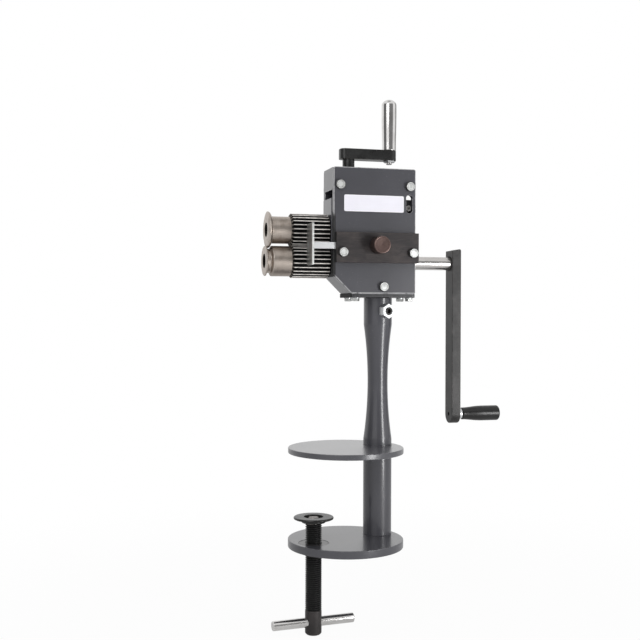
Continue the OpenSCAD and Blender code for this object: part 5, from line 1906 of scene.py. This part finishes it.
@dataclass
class Gauge:
    """The gauge bar with its stop, and the knob that clamps it."""

    knob_r: float = 12.65
    knob_l: float = 20.0
    stud_r: float = 4.0
    chamfer: float = 0.8
    dish: float = 0.5

    def knob(self) -> Piece:
        """Turns the knob, with a shallow dish in its face.

        Returns:
            The knob, in place.
        """
        length = extent("gauge_knob", "y")
        stud = length - self.knob_l
        piece = turned("gauge_clamp_knob", [
            (0, 0), (self.stud_r - self.dish, 0), (self.stud_r, self.dish), (self.stud_r, stud),
            (self.knob_r - self.chamfer, stud), (self.knob_r, stud + self.chamfer),
            (self.knob_r, length - self.chamfer), (self.knob_r - 0.5, length - 0.15),
            (self.knob_r - 1.4, length), (self.knob_r - 2.2, length - self.dish / 2),
            (1.2, length - 0.9 * self.dish), (0, length - self.dish),
        ])
        ease(piece, 0.2, angle=25.0)
        centre = middle("gauge_knob")
        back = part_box("gauge_knob")[1].y
        return settle(piece, Matrix.Translation((centre.x, back, centre.z)) @ TO_FRONT)

    def build(self) -> None:
        """Builds the gauge."""
        face = TurnedSteel(
            "browned_knob", "brown_steel", centre=tuple(middle("gauge_knob")), along="Y",
            colour=(0.085, 0.054, 0.048), stain=(0.038, 0.025, 0.022), bright=(0.24, 0.17, 0.15),
            roughness=0.32, metallic=0.75, groove=0.00006,
        )
        fit(self.knob(), face, "gauge_knob")
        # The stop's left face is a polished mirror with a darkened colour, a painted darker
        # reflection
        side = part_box("gauge_stop")[0].x + CRISP / 2
        stop_zinc = ZincPlate("stop_zinc", "zinc_plate", colour=(0.86, 0.87, 0.85), shaded_mirror=side)
        carve("gauge_bar", "gauge_bar_steel", ZINC, 0.4, 3)
        carve("gauge_stop", "gauge_stop_plate", stop_zinc, 0.2)
        carve("gauge_stop_screw", "gauge_stop_fastener", ZINC, 0.2)


# Studio


WHITE = (1.0, 1.0, 1.0, 1.0)


@dataclass
class Studio:
    """Pale floor, soft light and the camera at the photograph's angle.

    The walls are angles from behind the camera's right hand with greys, and the band above them
    and the ceiling start and end at two heights, in degrees, with a grey.
    """

    eye: tuple[float, float, float] = (-0.41486, -1.4270, 0.2085)
    yaw: float = 0.257
    pitch: float = 0.009
    roll: float = 0.003
    focal: float = 1008.5
    picture: float = 640.0
    sensor: float = 36.0
    floor_side: float = 40.0
    aim_height: float = 0.18
    sky: float = 0.62
    walls: tuple[Point, ...] = (
        (-180, 1.0), (-97, 1.0), (-90, 0.16), (-52, 0.16), (-44, 1.0), (-10, 1.0), (-3, 0.24),
        (54, 0.24), (62, 1.0), (98, 1.0), (105, 0.36), (132, 0.36), (140, 1.0), (180, 1.0),
    )
    band: tuple[float, float, float] = (32, 38, 0.9)
    ceiling: tuple[float, float, float] = (70, 78, 0.32)

    def floor(self) -> None:
        """The floor under the clamp screw, white to the camera but for the soft shadow."""
        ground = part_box("clamp_screw")[0].z - 0.001
        bpy.ops.object.select_all(action="DESELECT")
        bpy.ops.mesh.primitive_plane_add(size=self.floor_side, location=(0, 0, ground))
        floor = bpy.context.active_object
        floor.name = "studio_floor"
        bpy.ops.object.transform_apply(location=True)
        material = bpy.data.materials.new("pale_floor")
        material.use_nodes = True
        maker = Maker(material.node_tree)
        here = maker.place()
        side, back = maker.axis(here, "X"), maker.axis(here, "Y")
        away = side.across(back).between(0.3, 1.1)
        seen, glossy = light_path(maker)
        matt = maker.add("ShaderNodeBsdfDiffuse", None, {"Color": (0.8, 0.8, 0.8, 1.0)}).outputs[0]
        white = maker.add("ShaderNodeEmission", None, {"Color": WHITE, "Strength": 1.0}).outputs[0]
        share = (seen - 0.75 * glossy).clamped() * (0.955 + 0.045 * away)
        both = maker.add("ShaderNodeMixShader", None, {0: share, 1: matt, 2: white})
        maker.add("ShaderNodeOutputMaterial", None, {"Surface": both.outputs[0]})
        floor.data.materials.append(material)

    def backdrop(self) -> None:
        """White surroundings, darker towards the room in front of the object."""
        world = bpy.data.worlds.new("studio")
        bpy.context.scene.world = world
        world.use_nodes = True
        maker = Maker(world.node_tree)
        direction = maker.add("ShaderNodeTexCoord").outputs["Generated"]
        x, y, z = (maker.axis(direction, name) for name in "XYZ")
        right = x * math.cos(self.yaw) - y * math.sin(self.yaw)
        back = x * math.sin(self.yaw) + y * math.cos(self.yaw)
        turn = right.of("ARCTAN2", 0.0 - back) / math.tau + 0.5
        stops = [((angle + 180) / 360, grey) for angle, grey in self.walls]
        room = maker.value("ShaderNodeValToRGB", {"stops": stops}, {0: turn})
        height = z.of("ARCSINE") / math.tau
        for start, end, grey in (self.band, self.ceiling):
            room = room + (grey - room) * height.between(start / 360, end / 360)
        seen, glossy = light_path(maker)
        shown = seen * (1.0 - glossy) + glossy * room
        strength = shown + (1.0 - seen) * self.sky
        shader = maker.add("ShaderNodeBackground", None, {"Color": WHITE, "Strength": strength})
        maker.add("ShaderNodeOutputWorld", None, {"Surface": shader.outputs[0]})

    def lamp(
        self, name: str, turn: float, height: float, distance: float, size: Point, power: float
    ) -> None:
        """One soft rectangular lamp that looks at the head.

        Args:
            name: Name of the lamp.
            turn: Angle from the front towards the crank, in degrees.
            height: Height above the bench, in metres.
            distance: Distance from the column, in metres.
            size: Width and height of the lamp, in metres.
            power: Power in watts.
        """
        angle = math.radians(turn)
        place = Vector((math.sin(angle) * distance, -math.cos(angle) * distance, height))
        bpy.ops.object.light_add(type="AREA", location=place)
        lamp = bpy.context.active_object
        lamp.name = name
        lamp.data.shape = "RECTANGLE"
        lamp.data.size, lamp.data.size_y = size
        lamp.data.energy = power
        aim = Vector((0.0, 0.0, self.aim_height)) - place
        lamp.rotation_euler = aim.to_track_quat("-Z", "Y").to_euler()

    def camera(self) -> None:
        """The camera at the photograph's place."""
        cy, sy = math.cos(self.yaw), math.sin(self.yaw)
        cp, sp = math.cos(self.pitch), math.sin(self.pitch)
        right = Vector((cy, -sy, 0.0))
        ahead = Vector((sy * cp, cy * cp, -sp))
        up = right.cross(ahead)
        cr, sr = math.cos(self.roll), math.sin(self.roll)
        right, up = cr * right + sr * up, cr * up - sr * right
        data = bpy.data.cameras.new("photo_camera")
        data.sensor_width = self.sensor
        data.lens = self.focal * self.sensor / self.picture
        data.clip_start, data.clip_end = 0.05, 100.0
        camera = bpy.data.objects.new("photo_camera", data)
        bpy.context.scene.collection.objects.link(camera)
        frame_of = Matrix((right, up, -ahead)).transposed().to_4x4()
        camera.matrix_world = Matrix.Translation(self.eye) @ frame_of
        bpy.context.scene.camera = camera

    def build(self) -> None:
        """Sets up the studio."""
        bpy.context.scene.view_settings.view_transform = "Standard"
        self.floor()
        self.backdrop()
        self.lamp("low_strip", 34.5, 0.02, 1.5, (0.34, 0.6), 9.5)
        self.lamp("high_fill", -35.0, 1.1, 1.6, (0.9, 0.7), 6.0)
        self.camera()


def light_path(maker: Maker) -> tuple[Value, Value]:
    """What looks at a surface.

    Args:
        maker: Maker of the tree.

    Returns:
        1 for the camera, a reflection or glass against 0 for light on matt surfaces, and 1 for a
        reflection alone.
    """
    path = maker.add("ShaderNodeLightPath")
    rays = ("Is Camera Ray", "Is Glossy Ray", "Is Transmission Ray")
    camera, glossy, through = (Value(maker, path.outputs[name]) for name in rays)
    return (camera + glossy + through).clamped(), glossy


def main() -> None:
    """Sets up the studio, then builds the crimper's sub-assemblies in order."""
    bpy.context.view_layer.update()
    Studio().build()
    assemblies = [
        Stand(), BenchClamp(), Head(), BearingSlide(), RollPair(Level.UPPER), RollPair(Level.LOWER),
        Crank(), AdjustingCrank(), Gauge(),
    ]
    for assembly in assemblies:
        log.info("building %s", type(assembly).__name__)
        assembly.build()


if __name__ == "__main__":
    main()
